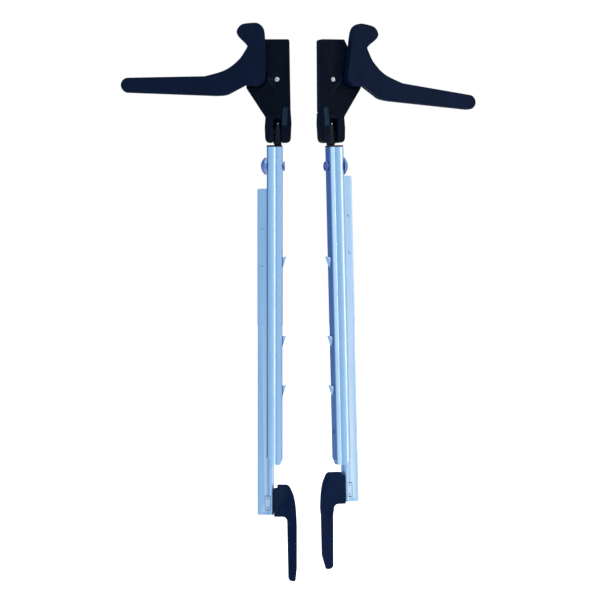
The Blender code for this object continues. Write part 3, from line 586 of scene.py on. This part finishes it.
def make_rail():
    rail = ribbon(rail_section(), 0.0, RAIL_LENGTH, RAIL_WALL)
    wall_low, wall_high = RAIL_HALF - RAIL_WALL - 1.0, RAIL_HALF + 1.0
    cutters = [box((wall_low, TAB_Y[0], b + 1.2), (wall_high, TAB_Y[1], b + TAB_HEIGHT)) for b in TAB_BOTTOMS]
    cutters.append(box((wall_low, -8.5, 34.5), (wall_high, -6.5, 39.5)))
    cutters.append(bar((12.0, MID_Y, BOLT_Z), (4.0, MID_Y, BOLT_Z), BOLT_BORE))
    inner_corner = slab([(3.25, -6.0), (14.75, -6.0), (14.75, 19.1)], -20.0, 2.0)
    slope = 0.246
    shear = Matrix(((1, 0, 0, 0), (0, 1, 0, 0), (0, slope, 1, slope * RAIL_DEPTH), (0, 0, 0, 1)))
    inner_corner.transform(shear)
    outer_corner = slab([(1.25, -6.0), (-14.75, -6.0), (-14.75, 18.0)], -20.0, -6.0)
    cutters += [inner_corner, outer_corner]
    rail = cut(edged(rail, 0.22, 2, 55), *cutters)
    tabs = [tab(bottom) for bottom in TAB_BOTTOMS]
    cheeks = [cheek for bottom in TAB_BOTTOMS for cheek in tab_cheeks(bottom)]
    return joined(rail, *tabs, *cheeks)


def make_block():
    """The block in the top of the rail, with a thin cap over the rail's end."""
    block = edged(box((-8.4, -9.3, 319.0), (6.3, -1.9, 350.7)), 0.6, 3)
    back = [(-8.94, -0.6), (-8.5, -0.2), (7.7, -0.2), (8.5, -1.0)]
    front = [(8.5, -11.9), (7.7, -12.7), (2.2, -12.7)]
    plan = back + front + arc(BEAD_CENTRE, BEAD_MIDDLE_RADIUS + 0.5, -42, -180, 16)
    cap = edged(flat_slab(plan, 350.3, BLOCK_TOP), 0.25, 2, 50)
    bore = bar((-20.0, MID_Y, BOLT_Z), (20.0, MID_Y, BOLT_Z), BOLT_BORE)
    socket = bar((HINGE[0], MID_Y, BLOCK_TOP + 0.2), (HINGE[0], MID_Y, 338.0), 3.1, 0.3)
    relief = [box((-6.8, -20.0, z), (-1.2, -8.4, z + 4.4)) for z in (334.5, 342.0)]
    return cut(joined(block, cap), bore, socket, *relief)


def make_bolt():
    """Carriage bolt: a low dome with a rolled rim, and a threaded shank."""
    radius, height, shank = 9.5, 4.5, 2.9
    sphere = (radius**2 + height**2) / (2 * height)
    span = math.degrees(math.asin((radius - 0.5) / sphere))
    dome = arc((0.0, height - sphere), sphere, 90, 90 - span, 10)
    rim = [(radius - 0.12, 0.62), (radius, 0.34), (radius - 0.1, 0.08), (radius - 0.4, 0.0)]
    length = 21.55
    thread = []
    turns, first = 11, 12.0
    for i in range(turns):
        depth = first + i * (length - first - 0.8) / turns
        thread += [(shank, -depth), (shank - 0.28, -depth - 0.45)]
    end = [(shank - 0.1, -length + 0.7), (shank - 0.7, -length), (0.0, -length)]
    profile = [(0.0, height)] + dome[1:] + rim + [(shank, 0.0)] + thread + end
    head_x = -RAIL_HALF - GAP - WASHER_THICKNESS - GAP
    return turned(profile, (head_x, MID_Y, BOLT_Z), (-1, 0, 0), 48)


def make_washer():
    outer, inner, thick = 9.5, BOLT_BORE, WASHER_THICKNESS
    ring = [(inner, 0.2), (inner + 0.2, 0.0), (outer - 0.35, 0.0), (outer, 0.35), (outer, thick - 0.35),
            (outer - 0.35, thick), (inner + 0.2, thick), (inner, thick - 0.2), (inner, 0.2)]
    start = (-RAIL_HALF - GAP, MID_Y, BOLT_Z)
    return turned(ring, start, (-1, 0, 0), 48)


def nut(start, along, thickness, corner_radius, bore):
    """A hexagon nut: six flats, whose corners a turned cone takes off, and a chamfered bore."""
    flats = [(0, 0), (corner_radius, 0), (corner_radius, thickness), (0, thickness)]
    hexagon = turned(flats, start, along, 6)
    flat = corner_radius * math.cos(math.pi / 6)
    cone = [(0, -0.01), (flat * 0.98, -0.01), (corner_radius * 1.02, thickness * 0.24),
            (corner_radius * 1.02, thickness * 0.76), (flat * 0.98, thickness + 0.01), (0, thickness + 0.01)]
    body = combined(hexagon, [turned(cone, start, along, 60)], "INTERSECT")
    hole = [(0, -1), (bore + 1.4, -1), (bore, 0.4), (bore, thickness - 0.4),
            (bore + 1.4, thickness + 1), (0, thickness + 1)]
    return cut(body, turned(hole, start, along, 36))


def make_rod():
    """The swivel rod: a tang that narrows upward, with a flange behind it, on a round shank in the block."""
    bottom, top = BLOCK_TOP + GAP, 377.5
    outline = fillet([(HINGE[0] - 3.9, bottom, 1.3), (HINGE[0] + 3.9, bottom, 1.3),
                      (HINGE[0] + 1.7, top, 1.6), (HINGE[0] - 1.7, top, 1.6)], 6)
    tang = edged(slab(outline, MID_Y - 3.5, MID_Y + 3.5), 0.8, 3)
    flange = fillet([(-0.4, bottom, 0.3), (7.5, bottom, 0.5), (7.5, 370.4, 1.2), (-1.8, 370.4, 1.2),
                     (-1.8, 355.5, 0.8)], 3)
    shank = bar((HINGE[0], MID_Y, 338.6), (HINGE[0], MID_Y, bottom + 2.0), 2.8)
    tang = joined(tang, shank, slab(flange, -3.4, -2.4))
    eye = bar((HINGE[0] - 10.0, MID_Y, HINGE[2]), (HINGE[0] + 10.0, MID_Y, HINGE[2]), HINGE_BORE)
    hole = bar((HINGE[0], MID_Y - 10.0, 375.5), (HINGE[0], MID_Y + 10.0, 375.5), 1.2)
    return cut(tang, eye, hole)


def domed_pin(start, end, radius, crown):
    """A ground pin with low domed ends."""
    length = (Vector(end) - Vector(start)).length
    steps = 5
    rise = [(radius * math.sin(math.pi / 2 * i / steps), crown * (1 - math.cos(math.pi / 2 * i / steps)))
            for i in range(steps + 1)]
    profile = rise + [(r, length - h) for r, h in reversed(rise)]
    return turned(profile, start, Vector(end) - Vector(start), 36)


# ---------------------------------------------------------------- head group

def head_outline():
    """The head from the front: flanks, the shoulder beside the hub, and the two swelling lobes."""
    corners = [(-12.2, 468.4, 2.2), (-19.5, 454.0, 4.0), (-31.3, 417.8, 2.4), (-31.1, 414.6, 3.0),
               (-10.2, 382.9, 4.5), (-11.0, 371.0, 12.0), (-10.3, 354.6, 5.8), (17.6, 354.6, 5.8),
               (18.6, 376.5, 12.0), (17.6, 391.0, 10.0), (16.3, 468.4, 2.6)]
    return fillet(corners, 6)


def slot_cutter(inset, low, top, front, back):
    """Part of the clevis slot: its full width less an inset on both sides, with a flared lower end."""
    left, right = -2.1 + inset, 7.8 - inset
    outline = fillet([(left - 2.9, low, 0.0), (right + 2.9, low, 0.0), (right, 356.2, 2.5),
                      (right, top, 1.2), (left, top, 1.2), (left, 356.2, 2.5)], 6)
    return slab(outline, front, back)


def lobe_rims():
    """Rounded front rims for the two walls of the slot: a wider slot, cut only a little way in."""
    wide = fillet([(-2.5, 335.0, 0.0), (8.2, 335.0, 0.0), (8.2, 381.7, 2.4), (-2.5, 381.7, 2.4)], 6)
    return edged(slab(wide, -30.0, HEAD_FRONT + 1.3), 1.2, 4, 50)


def facet_cutter():
    """A shallow hollow down the front of the inner lobe, beside the slot."""
    ends = [(x, FACET_AXIS_Y, z) for x, z in zip(FACET_X, FACET_Z)]
    return bar(*ends, FACET_RADIUS, 0.0, 96)


def on_facet(point):
    """Whether a point lies on the hollow that facet_cutter leaves."""
    along = (point.z - FACET_Z[0]) / (FACET_Z[1] - FACET_Z[0])
    axis_x = FACET_X[0] + (FACET_X[1] - FACET_X[0]) * along
    reach = math.hypot(point.x - axis_x, point.y - FACET_AXIS_Y)
    return 0.01 < along < 0.99 and abs(reach - FACET_RADIUS) < 0.05


def make_head(face_look, facet_look):
    body = edged(slab(head_outline(), HEAD_FRONT, 0.0), 1.7, 4, 50)
    step_y = COVER_FRONT - GAP
    tools = [
        box((-50.0, step_y, COVER_BOTTOM - GAP), (50.0, 10.0, 500.0)),
        slot_cutter(0.7, 351.0, 380.6, -30.0, -9.7),
        slot_cutter(0.0, 351.0, 380.6, -10.7, -1.8),
        slot_cutter(0.0, 340.0, 369.9, -10.7, 10.0),
        lobe_rims(),
        facet_cutter(),
        recess_cutter(),
        slab(pocket_outline(), -10.0, 10.0),
        bar((HUB[0], -20.0, HUB[1]), (HUB[0], 10.0, HUB[1]), AXLE_BORE),
        bar((HEAD_PIN[0], HEAD_FRONT - 0.1, HEAD_PIN[1]), (HEAD_PIN[0], 10.0, HEAD_PIN[1]), 2.9, 0.35),
        bar((-30.0, MID_Y, HINGE[2]), (15.3, MID_Y, HINGE[2]), HINGE_BORE),
    ]
    tools += [bar((x, step_y - 5.5, z), (x, 10.0, z), 1.2) for x, z in SCREW_PLACES]
    head = cut(body, *tools)
    head.materials.clear()
    for look in (face_look, facet_look):
        head.materials.append(look)
    # The facet hollow takes the second look, a paler nylon that is painted sheen.
    for polygon in head.polygons:
        polygon.material_index = 1 if on_facet(polygon.center) else 0
    return head


def recess_cutter():
    """The round recess about the hub, with a sloping rim."""
    depth, radius = 2.5, 12.0
    profile = [(0, 0), (radius + 1.2, 0), (radius + 1.2, 10.0), (radius + 0.9, 10.35), (radius + 0.2, 10.9),
               (radius, 11.6), (radius, 10.0 + depth - 0.7), (radius - 0.25, 10.0 + depth - 0.2),
               (radius - 0.8, 10.0 + depth), (0, 10.0 + depth)]
    return turned(profile, (HUB[0], HEAD_FRONT - 10.0, HUB[1]), (0, 1, 0), 96)


def pocket_outline():
    """The hollow behind the hub wall: a round well about the axle and a channel out to the head pin."""
    well = arc(HUB, 6.6, 40, 320, 28)
    end = HEAD_PIN[0] + 4.2
    return well + [(end, HEAD_PIN[1] - 4.8), (end, HEAD_PIN[1] + 4.8)]


def cover_corners(inset, radius):
    low = COVER_BOTTOM + inset * 0.5
    return [(-12.2 + inset * 0.6, 468.4 - inset, radius), (-19.5 + inset, 454.0 - inset * 0.3, radius + 1.5),
            (-31.2 + inset, 417.6, radius), (-31.0 + inset * 1.2, 414.0 + inset * 0.5, radius + 1.5),
            (-14.2 + inset, low, radius), (17.7 - inset, low, radius), (16.3 - inset, 468.4 - inset, radius)]


def make_cover():
    """The back cover: a rounded plate with a sunk panel, screw bosses and stiffening ribs left standing."""
    plate = edged(slab(fillet(cover_corners(0.4, 1.8), 6), COVER_FRONT, 0.0), 0.7, 3, 50)
    panel = slab(fillet(cover_corners(4.2, 1.2), 5), -0.55, 5.0)
    bosses = [bar((x, -1.5, z), (x, 6.0, z), 4.6) for x, z in SCREW_PLACES]
    ribs = [box((-30.0, -1.5, z - 0.8), (20.0, 6.0, z + 0.8)) for z in (404.0, 416.0, 440.0)]
    panel = cut(panel, *bosses, *ribs)
    sinks = [bar((x, 0.2, z), (x, -1.6, z), 2.9, 0.25) for x, z in SCREW_PLACES]
    holes = [bar((x, -20.0, z), (x, 10.0, z), 1.3) for x, z in SCREW_PLACES]
    return cut(plate, panel, *sinks, *holes)


def make_cover_screw(place):
    """A pan-head screw with a cross recess."""
    x, z = place
    head = [(0, 0.0), (1.0, -0.02), (1.8, -0.12), (2.35, -0.36), (2.6, -0.75), (2.6, -1.1), (2.5, -1.2),
            (0.9, -1.2)]
    shank = [(0.9, -7.2), (0.4, -7.7), (0, -7.7)]
    screw = turned(head + shank, (x, -0.1, z), (0, 1, 0), 40)
    arms = []
    for turn in (0.0, math.pi / 2):
        arm = box((x - 1.25, -0.75, z - 0.28), (x + 1.25, 1.0, z + 0.28), Matrix.Rotation(turn, 4, "Y"))
        arms.append(arm)
    return cut(screw, *arms)


# ---------------------------------------------------------------- lever group

def lever_outline():
    """Arm, saddle, thumb and hub, round the outline from the top of the arm's tip."""
    saddle = smooth([(-76.6, 426.8), (-54.4, 433.5), (-39.7, 444.5), (-32.3, 454.9), (-29.6, 460.0)], 6)
    thumb = smooth([(-32.8, 464.0), (-39.7, 471.0), (-41.4, 477.0), (-36.0, 483.6), (-24.9, 485.3),
                    (-17.5, 484.6), (-11.7, 478.4), (-10.3, 467.0)], 5)
    hub = arc(HUB, 11.0, 0, -112, 20)
    under = smooth([(-49.5, 407.4), (-52.0, 406.5), (-55.0, 405.9), (-58.5, 405.6), (-64.7, 405.4)], 4)
    tip = arc((-160.5, 417.1), 8.1, -92, -268, 16)
    return saddle + thumb + hub + [(-31.3, 417.1)] + under + tip


def make_lever():
    arm = edged(slab(lever_outline(), *LEVER_Y), 3.0, 5, 40)
    boss_profile = [(0, 0), (10.8, 0), (10.8, 8.0), (10.5, 8.2), (0, 8.2)]
    arm = joined(arm, turned(boss_profile, (HUB[0], -20.0, HUB[1]), (0, 1, 0), 72))
    bore = bar((HUB[0], 0.0, HUB[1]), (HUB[0], -22.8, HUB[1]), AXLE_BORE)
    return cut(arm, bore)


def make_disc():
    """The detent disc: a hardened ring with shallow notches for the spring's tip."""
    notches, steps = 16, 6
    outline = []
    for i in range(notches * steps):
        phase = i % steps / steps
        dip = 0.45 * math.sin(math.pi * phase) ** 2
        angle = 2 * math.pi * i / (notches * steps)
        outline.append((HUB[0] + (6.0 - dip) * math.cos(angle), HUB[1] + (6.0 - dip) * math.sin(angle)))
    front = -10.0 + GAP
    disc = slab(outline, front, front + 2.8)
    return cut(disc, bar((HUB[0], -20.0, HUB[1]), (HUB[0], 0.0, HUB[1]), AXLE_BORE))


# ---------------------------------------------------------------- slide group

def slide_section():
    """Middle line of the slide: back lip, outer wall, plate, rib and inner wall, and the other back lip."""
    half = SLIDE_WALL / 2
    outer, inner = -18.95 + half, -0.9 - half
    back, plate = -1.9 - half, -10.3 + half
    bend = 1.1
    lip = [(outer + 4.5, back)] + arc((outer + bend, back - bend), bend, 90, 180, 4)
    corner = arc((outer + bend, plate + bend), bend, 180, 270, 4)
    radius = 2.6
    rib = arc((inner - radius, -9.2), radius, -168, 0, 14)
    inner_lip = arc((inner - bend, back - bend), bend, 0, 90, 4) + [(inner - 3.8, back)]
    return lip + corner + [(rib[0][0] - 0.3, plate)] + rib[1:] + inner_lip


def make_slide():
    slide = ribbon(slide_section(), SLIDE_BOTTOM, SLIDE_TOP, SLIDE_WALL)
    x0, x1, z0, z1 = WINDOW
    window = slab(fillet([(x0, z0, 0.6), (x1, z0, 0.6), (x1, z1, 0.6), (x0, z1, 0.6)], 3), -20.0, -6.0)
    (_, front, bottom), (_, back, top) = TENON
    tenon_hole = box((-4.0, front - GAP, bottom - GAP), (1.0, back + GAP, top + GAP))
    arm_slot = box((-4.0, -8.8, 218.15), (1.0, -6.2, 228.35))
    holes = [bar((RIVET_X, -20.0, SLIDE_TOP - d), (RIVET_X, -6.0, SLIDE_TOP - d), 1.2) for d in RIVET_DROPS]
    ends = [slab([(-21.0, z), (-21.0 + 3.6, z), (-21.0, z + s * 3.6)], -20.0, 5.0)
            for z, s in ((SLIDE_BOTTOM - 0.4, 1), (SLIDE_TOP + 0.4, -1))]
    slide = cut(slide, window, tenon_hole, arm_slot, *holes, *ends)
    return edged(slide, 0.2, 2, 55)


def make_rivet(drop):
    """A domed rivet: its head in front of the plate and its tail behind the spring."""
    front, back = -10.3 - GAP, -10.3 + SLIDE_WALL + GAP + 1.0 + GAP
    profile = [(0, 0.5), (0.6, 0.46), (1.1, 0.34), (1.5, 0.16), (1.7, 0.0), (0.9, 0.0), (0.9, front - back),
               (1.7, front - back), (1.6, front - back - 0.45), (1.1, front - back - 0.7),
               (0, front - back - 0.7)]
    return turned(profile, (RIVET_X, front, SLIDE_TOP - drop), (0, -1, 0), 28)


def foot_outline():
    hub = [(-0.6, -25.6), (2.3, -25.6), (2.9, -25.0), (2.9, -22.6), (3.4, -22.0), (13.0, -22.0)]
    outer = smooth([(14.2, -22.3), (17.1, -25.3), (21.2, -35.0), (23.4, -48.0), (24.5, -67.0)], 5)
    tip = [(24.5, -113.5), (23.2, -126.2)]
    toe = smooth([(22.6, -127.6), (21.6, -128.0), (19.4, -127.9), (17.2, -127.2), (15.6, -125.4),
                  (15.0, -123.6)], 3)
    root = arc((8.6, -62.0), 5.1, 0, 90, 9)
    return hub + outer + tip + toe + root + [(-0.6, -56.9)]


def make_foot():
    """The foot hook: a block beside the slide, a long leg, and a tenon that enters the slide."""
    foot = slab(foot_outline(), -14.6, 0.0)
    fronts = [(-14.6, -60.0), (-14.6, -62.4), (-13.4, -65.4), (-12.2, -68.6), (-12.2, -132.0)]
    front_cut = [(-30.0, -60.0)] + fronts + [(-30.0, -132.0)]
    back_cut = [(20.0, -60.0), (0.0, -60.0), (-0.2, -62.4), (-1.2, -65.4), (-2.2, -68.6), (-2.2, -112.0),
                (-9.0, -128.0), (-10.7, -132.0), (20.0, -132.0)]
    for profile in (front_cut, back_cut):
        foot = cut(foot, side_slab(profile, -10.0, 40.0))
    foot = edged(foot, 1.5, 4, 42)
    tenon = edged(box(*TENON), 0.3, 2)
    foot = joined(foot, tenon)
    return cut(foot, box((WINDOW[0], -20.0, WINDOW[2]), (WINDOW[1], -6.6, WINDOW[3])))


def make_clip():
    """The spring clip in the slide's window: a staple-shaped strip with fine pressed ribs and two dimples."""
    low, high = WINDOW[2] + 0.6, WINDOW[3] - 0.9
    foot, bend = -7.2, 0.45
    low_end = [(foot, low)] + arc((CLIP_FRONT + bend, low + bend), bend, 270, 180, 5)
    high_end = arc((CLIP_FRONT + bend, high - bend), bend, 180, 90, 5) + [(foot, high)]
    ribs, steps = 9, 54
    start, end = low + bend, high - bend
    ribbed = []
    for i in range(1, steps):
        rise = 0.05 * math.sin(2 * math.pi * ribs * i / steps)
        ribbed.append((CLIP_FRONT - rise, start + (end - start) * i / steps))
    middle = low_end + ribbed + high_end
    clip = strip([[(x, y, z) for y, z in middle] for x in CLIP_X], CLIP_WALL)
    x = (WINDOW[0] + WINDOW[1]) / 2
    dimples = [bar((x, -12.0, z), (x, CLIP_FRONT - 0.1, z), 0.8, 0.0, 24) for z in (low + 2.2, high - 2.2)]
    return cut(clip, *dimples)


# ---------------------------------------------------------------- assembly

def build_shared(looks):
    """Every piece that both units have: name, mesh, look, body, slot."""
    x, z = HINGE[0], HINGE[2]
    nut_start = (RAIL_HALF + GAP, MID_Y, BOLT_Z)
    pieces = [
        ("rail", make_rail(), "rail", "rail_group", "rail_steel"),
        ("anchor_block", make_block(), "block", "rail_group", "anchor_nylon"),
        ("carriage_bolt", make_bolt(), "bolt", "rail_group", "bolt_zinc"),
        ("bolt_washer", make_washer(), "bolt", "rail_group", "bolt_zinc"),
        ("bolt_nut", nut(nut_start, (1, 0, 0), 2.2, 5.77, BOLT_BORE), "nut",
         "rail_group", "nut_zinc"),
        ("swivel_rod", make_rod(), "rod", "rail_group", "rod_black"),
        ("stop_pin", domed_pin((x, -10.5, 375.5), (x, -2.4, 375.5), 0.9, 0.4), "pin",
         "rail_group", "pin_bright"),
        ("head_body", make_head(looks["head"], looks["painted_sheen"]), "head", "head_group", "head_nylon"),
        ("head_cover", make_cover(), "cover", "head_group", "cover_nylon"),
        ("hinge_pin", domed_pin((-9.8, MID_Y, z), (15.0, MID_Y, z), 2.2, 0.4), "rod",
         "head_group", "rod_black"),
        ("head_pin", domed_pin((HEAD_PIN[0], HEAD_FRONT - 0.5, HEAD_PIN[1]),
                               (HEAD_PIN[0], COVER_FRONT - 2 * GAP, HEAD_PIN[1]), 2.6, 0.5), "pin",
         "head_group", "pin_bright"),
        ("lever", make_lever(), "lever", "lever_group", "lever_nylon"),
        ("detent_disc", make_disc(), "spring", "lever_group", "spring_steel"),
        ("axle_nut", nut((HUB[0], -6.6, HUB[1]), (0, 1, 0), 3.0, 4.6, AXLE_BORE), "nut",
         "lever_group", "nut_zinc"),
        ("slide_channel", make_slide(), "slide", "slide_group", "slide_steel"),
        ("foot_hook", make_foot(), "foot", "slide_group", "foot_nylon"),
        ("foot_clip", make_clip(), "slide", "slide_group", "spring_steel"),
    ]
    for i, place in enumerate(SCREW_PLACES, 1):
        screw = make_cover_screw(place)
        pieces.append((f"cover_screw_{i}", screw, "screw", "head_group", "screw_zinc"))
    for i, drop in enumerate(RIVET_DROPS, 1):
        pieces.append((f"catch_rivet_{i}", make_rivet(drop), "rivet", "slide_group", "rivet_zinc"))
    return pieces


def place_units(looks):
    pieces = build_shared(looks)
    for side in SIDES:
        unit = Unit(side)
        hub = Matrix.Translation((HUB[0], 0, HUB[1]))
        swing = hub @ Matrix.Rotation(math.radians(unit.lever_angle), 4, "Y") @ hub.inverted()
        moves = {"lever_group": swing, "slide_group": Matrix.Translation((0, 0, unit.lift))}
        for name, mesh, look, body, slot in pieces:
            unit.add(name, mesh, looks[look], body, slot, move=moves.get(body))
        for name, look in (("lever_axle", "nut"), ("detent_spring", "spring"), ("catch_spring", "spring")):
            node = frame["nodes"][f"{side}_{name}"]
            node.data.materials.clear()
            node.data.materials.append(looks[look])


# ---------------------------------------------------------------- stage

def floor():
    """A pale floor below the lowest reach of the slides. It glows a little, less so close to the object."""
    drop = max(-JOINTS[f"{side}_slide_travel"]["range_m"][0] for side in SIDES)
    shape = bmesh.new()
    bmesh.ops.create_grid(shape, x_segments=1, y_segments=1, size=60.0)
    made = bpy.data.objects.new("floor", mesh_of(shape))
    bpy.context.scene.collection.objects.link(made)
    made.location = (0.0, 0.0, cad_bounds[0].z - drop - 0.002)
    surface = Surface("floor_paint", (0.90, 0.90, 0.90), 0.85, specular=0.1)
    surface.tint(surface.spread(surface.noise(6, 3), 0.0, 0.3), (0.93, 0.93, 0.93))
    length = surface.nodes.new("ShaderNodeVectorMath")
    length.operation = "LENGTH"
    surface.links.new(surface.place, length.inputs[0])
    glow = surface.spread(length.outputs["Value"], 0.45, 0.95, 0.15, 1.2)
    seen = surface.nodes.new("ShaderNodeLightPath").outputs["Is Camera Ray"]
    surface.links.new(surface.product(glow, seen), surface.shader.inputs["Emission Strength"])
    surface.shader.inputs["Emission Color"].default_value = (1.0, 0.97, 0.93, 1.0)
    made.data.materials.append(surface.material)


def soft_light(name, place, target, width, height, power, colour):
    data = bpy.data.lights.new(name, "AREA")
    data.shape = "RECTANGLE"
    data.size, data.size_y = width, height
    data.energy = power
    data.color = colour
    made = bpy.data.objects.new(name, data)
    bpy.context.scene.collection.objects.link(made)
    made.location = place
    made.rotation_euler = (Vector(target) - Vector(place)).to_track_quat("-Z", "Y").to_euler()


def lights(middle):
    soft_light("key", (2.80, -0.95, 0.55), middle, 0.45, 2.6, 20.0, (1.0, 0.95, 0.88))
    soft_light("top", (0.2, -0.6, 2.6), middle, 2.2, 2.2, 18.0, (0.95, 0.98, 1.0))


ROOM_ACROSS = ((-1.0, (0.50, 0.76, 0.94)), (-0.5, (0.68, 0.90, 1.02)), (0.0, (0.86, 0.96, 1.02)),
               (0.35, (1.15, 1.08, 1.00)), (0.75, (1.55, 1.25, 1.05)), (1.0, (1.45, 1.18, 0.92)))
ROOM_DEEP = ((0.05, (0.76, 0.86, 0.90)), (0.35, (0.38, 0.54, 0.68)), (0.65, (0.11, 0.26, 0.62)),
             (1.0, (0.12, 0.24, 0.52)))
DARK_SIDE = (-0.35, 0.94, 0.0)


def colour_ramp(nodes, links, value, stops):
    """Colours along a direction from -1 to 1, which may pass 1.0. Gives the colour and its strength."""
    across = nodes.new("ShaderNodeMapRange")
    across.inputs["From Min"].default_value = -1.0
    links.new(value, across.inputs["Value"])
    ramp = nodes.new("ShaderNodeValToRGB")
    links.new(across.outputs["Result"], ramp.inputs["Fac"])
    brightest = max(max(colour) for _, colour in stops)
    elements = ramp.color_ramp.elements
    while len(elements) < len(stops):
        elements.new(0.5)
    for element, (x, colour) in zip(elements, stops):
        element.position = (x + 1) / 2
        element.color = (*[c / brightest for c in colour], 1.0)
    return ramp.outputs["Color"], brightest


def world():
    """White to the camera. To light the object: a room warmer to the right, dim and blue behind."""
    made = bpy.data.worlds.new("studio")
    bpy.context.scene.world = made
    made.use_nodes = True
    nodes, links = made.node_tree.nodes, made.node_tree.links
    nodes.clear()
    direction = nodes.new("ShaderNodeTexCoord").outputs["Generated"]
    parts = nodes.new("ShaderNodeSeparateXYZ")
    links.new(direction, parts.inputs["Vector"])
    tint, tint_strength = colour_ramp(nodes, links, parts.outputs["X"], ROOM_ACROSS)
    toward = nodes.new("ShaderNodeVectorMath")
    toward.operation = "DOT_PRODUCT"
    links.new(direction, toward.inputs[0])
    toward.inputs[1].default_value = DARK_SIDE
    deep, deep_strength = colour_ramp(nodes, links, toward.outputs["Value"], ROOM_DEEP)
    both = nodes.new("ShaderNodeMix")
    both.data_type = "RGBA"
    both.blend_type = "MULTIPLY"
    both.inputs[0].default_value = 1.0
    links.new(tint, both.inputs[6])
    links.new(deep, both.inputs[7])
    room = nodes.new("ShaderNodeBackground")
    room.inputs["Strength"].default_value = tint_strength * deep_strength
    links.new(both.outputs[2], room.inputs["Color"])
    white = nodes.new("ShaderNodeBackground")
    white.inputs["Color"].default_value = (1.0, 1.0, 1.0, 1.0)
    mix = nodes.new("ShaderNodeMixShader")
    links.new(nodes.new("ShaderNodeLightPath").outputs["Is Camera Ray"], mix.inputs["Fac"])
    links.new(room.outputs["Background"], mix.inputs[1])
    links.new(white.outputs["Background"], mix.inputs[2])
    links.new(mix.outputs["Shader"], nodes.new("ShaderNodeOutputWorld").inputs["Surface"])


def camera():
    """Square on, at the height of the object's middle, with a long lens."""
    data = bpy.data.cameras.new("camera")
    data.lens = 200.0
    data.sensor_width = 36.0
    made = bpy.data.objects.new("camera", data)
    bpy.context.scene.collection.objects.link(made)
    view_width, nearest = 0.660, -0.0120
    distance = view_width * data.lens / data.sensor_width
    made.location = (0.0, nearest - distance, 0.1815)
    made.rotation_euler = (math.pi / 2, 0.0, 0.0)
    bpy.context.scene.camera = made


def main():
    low, high = cad_bounds
    camera()
    place_units(make_looks())
    floor()
    lights((low + high) / 2)
    world()
    bpy.context.scene.view_settings.view_transform = "Standard"


main()
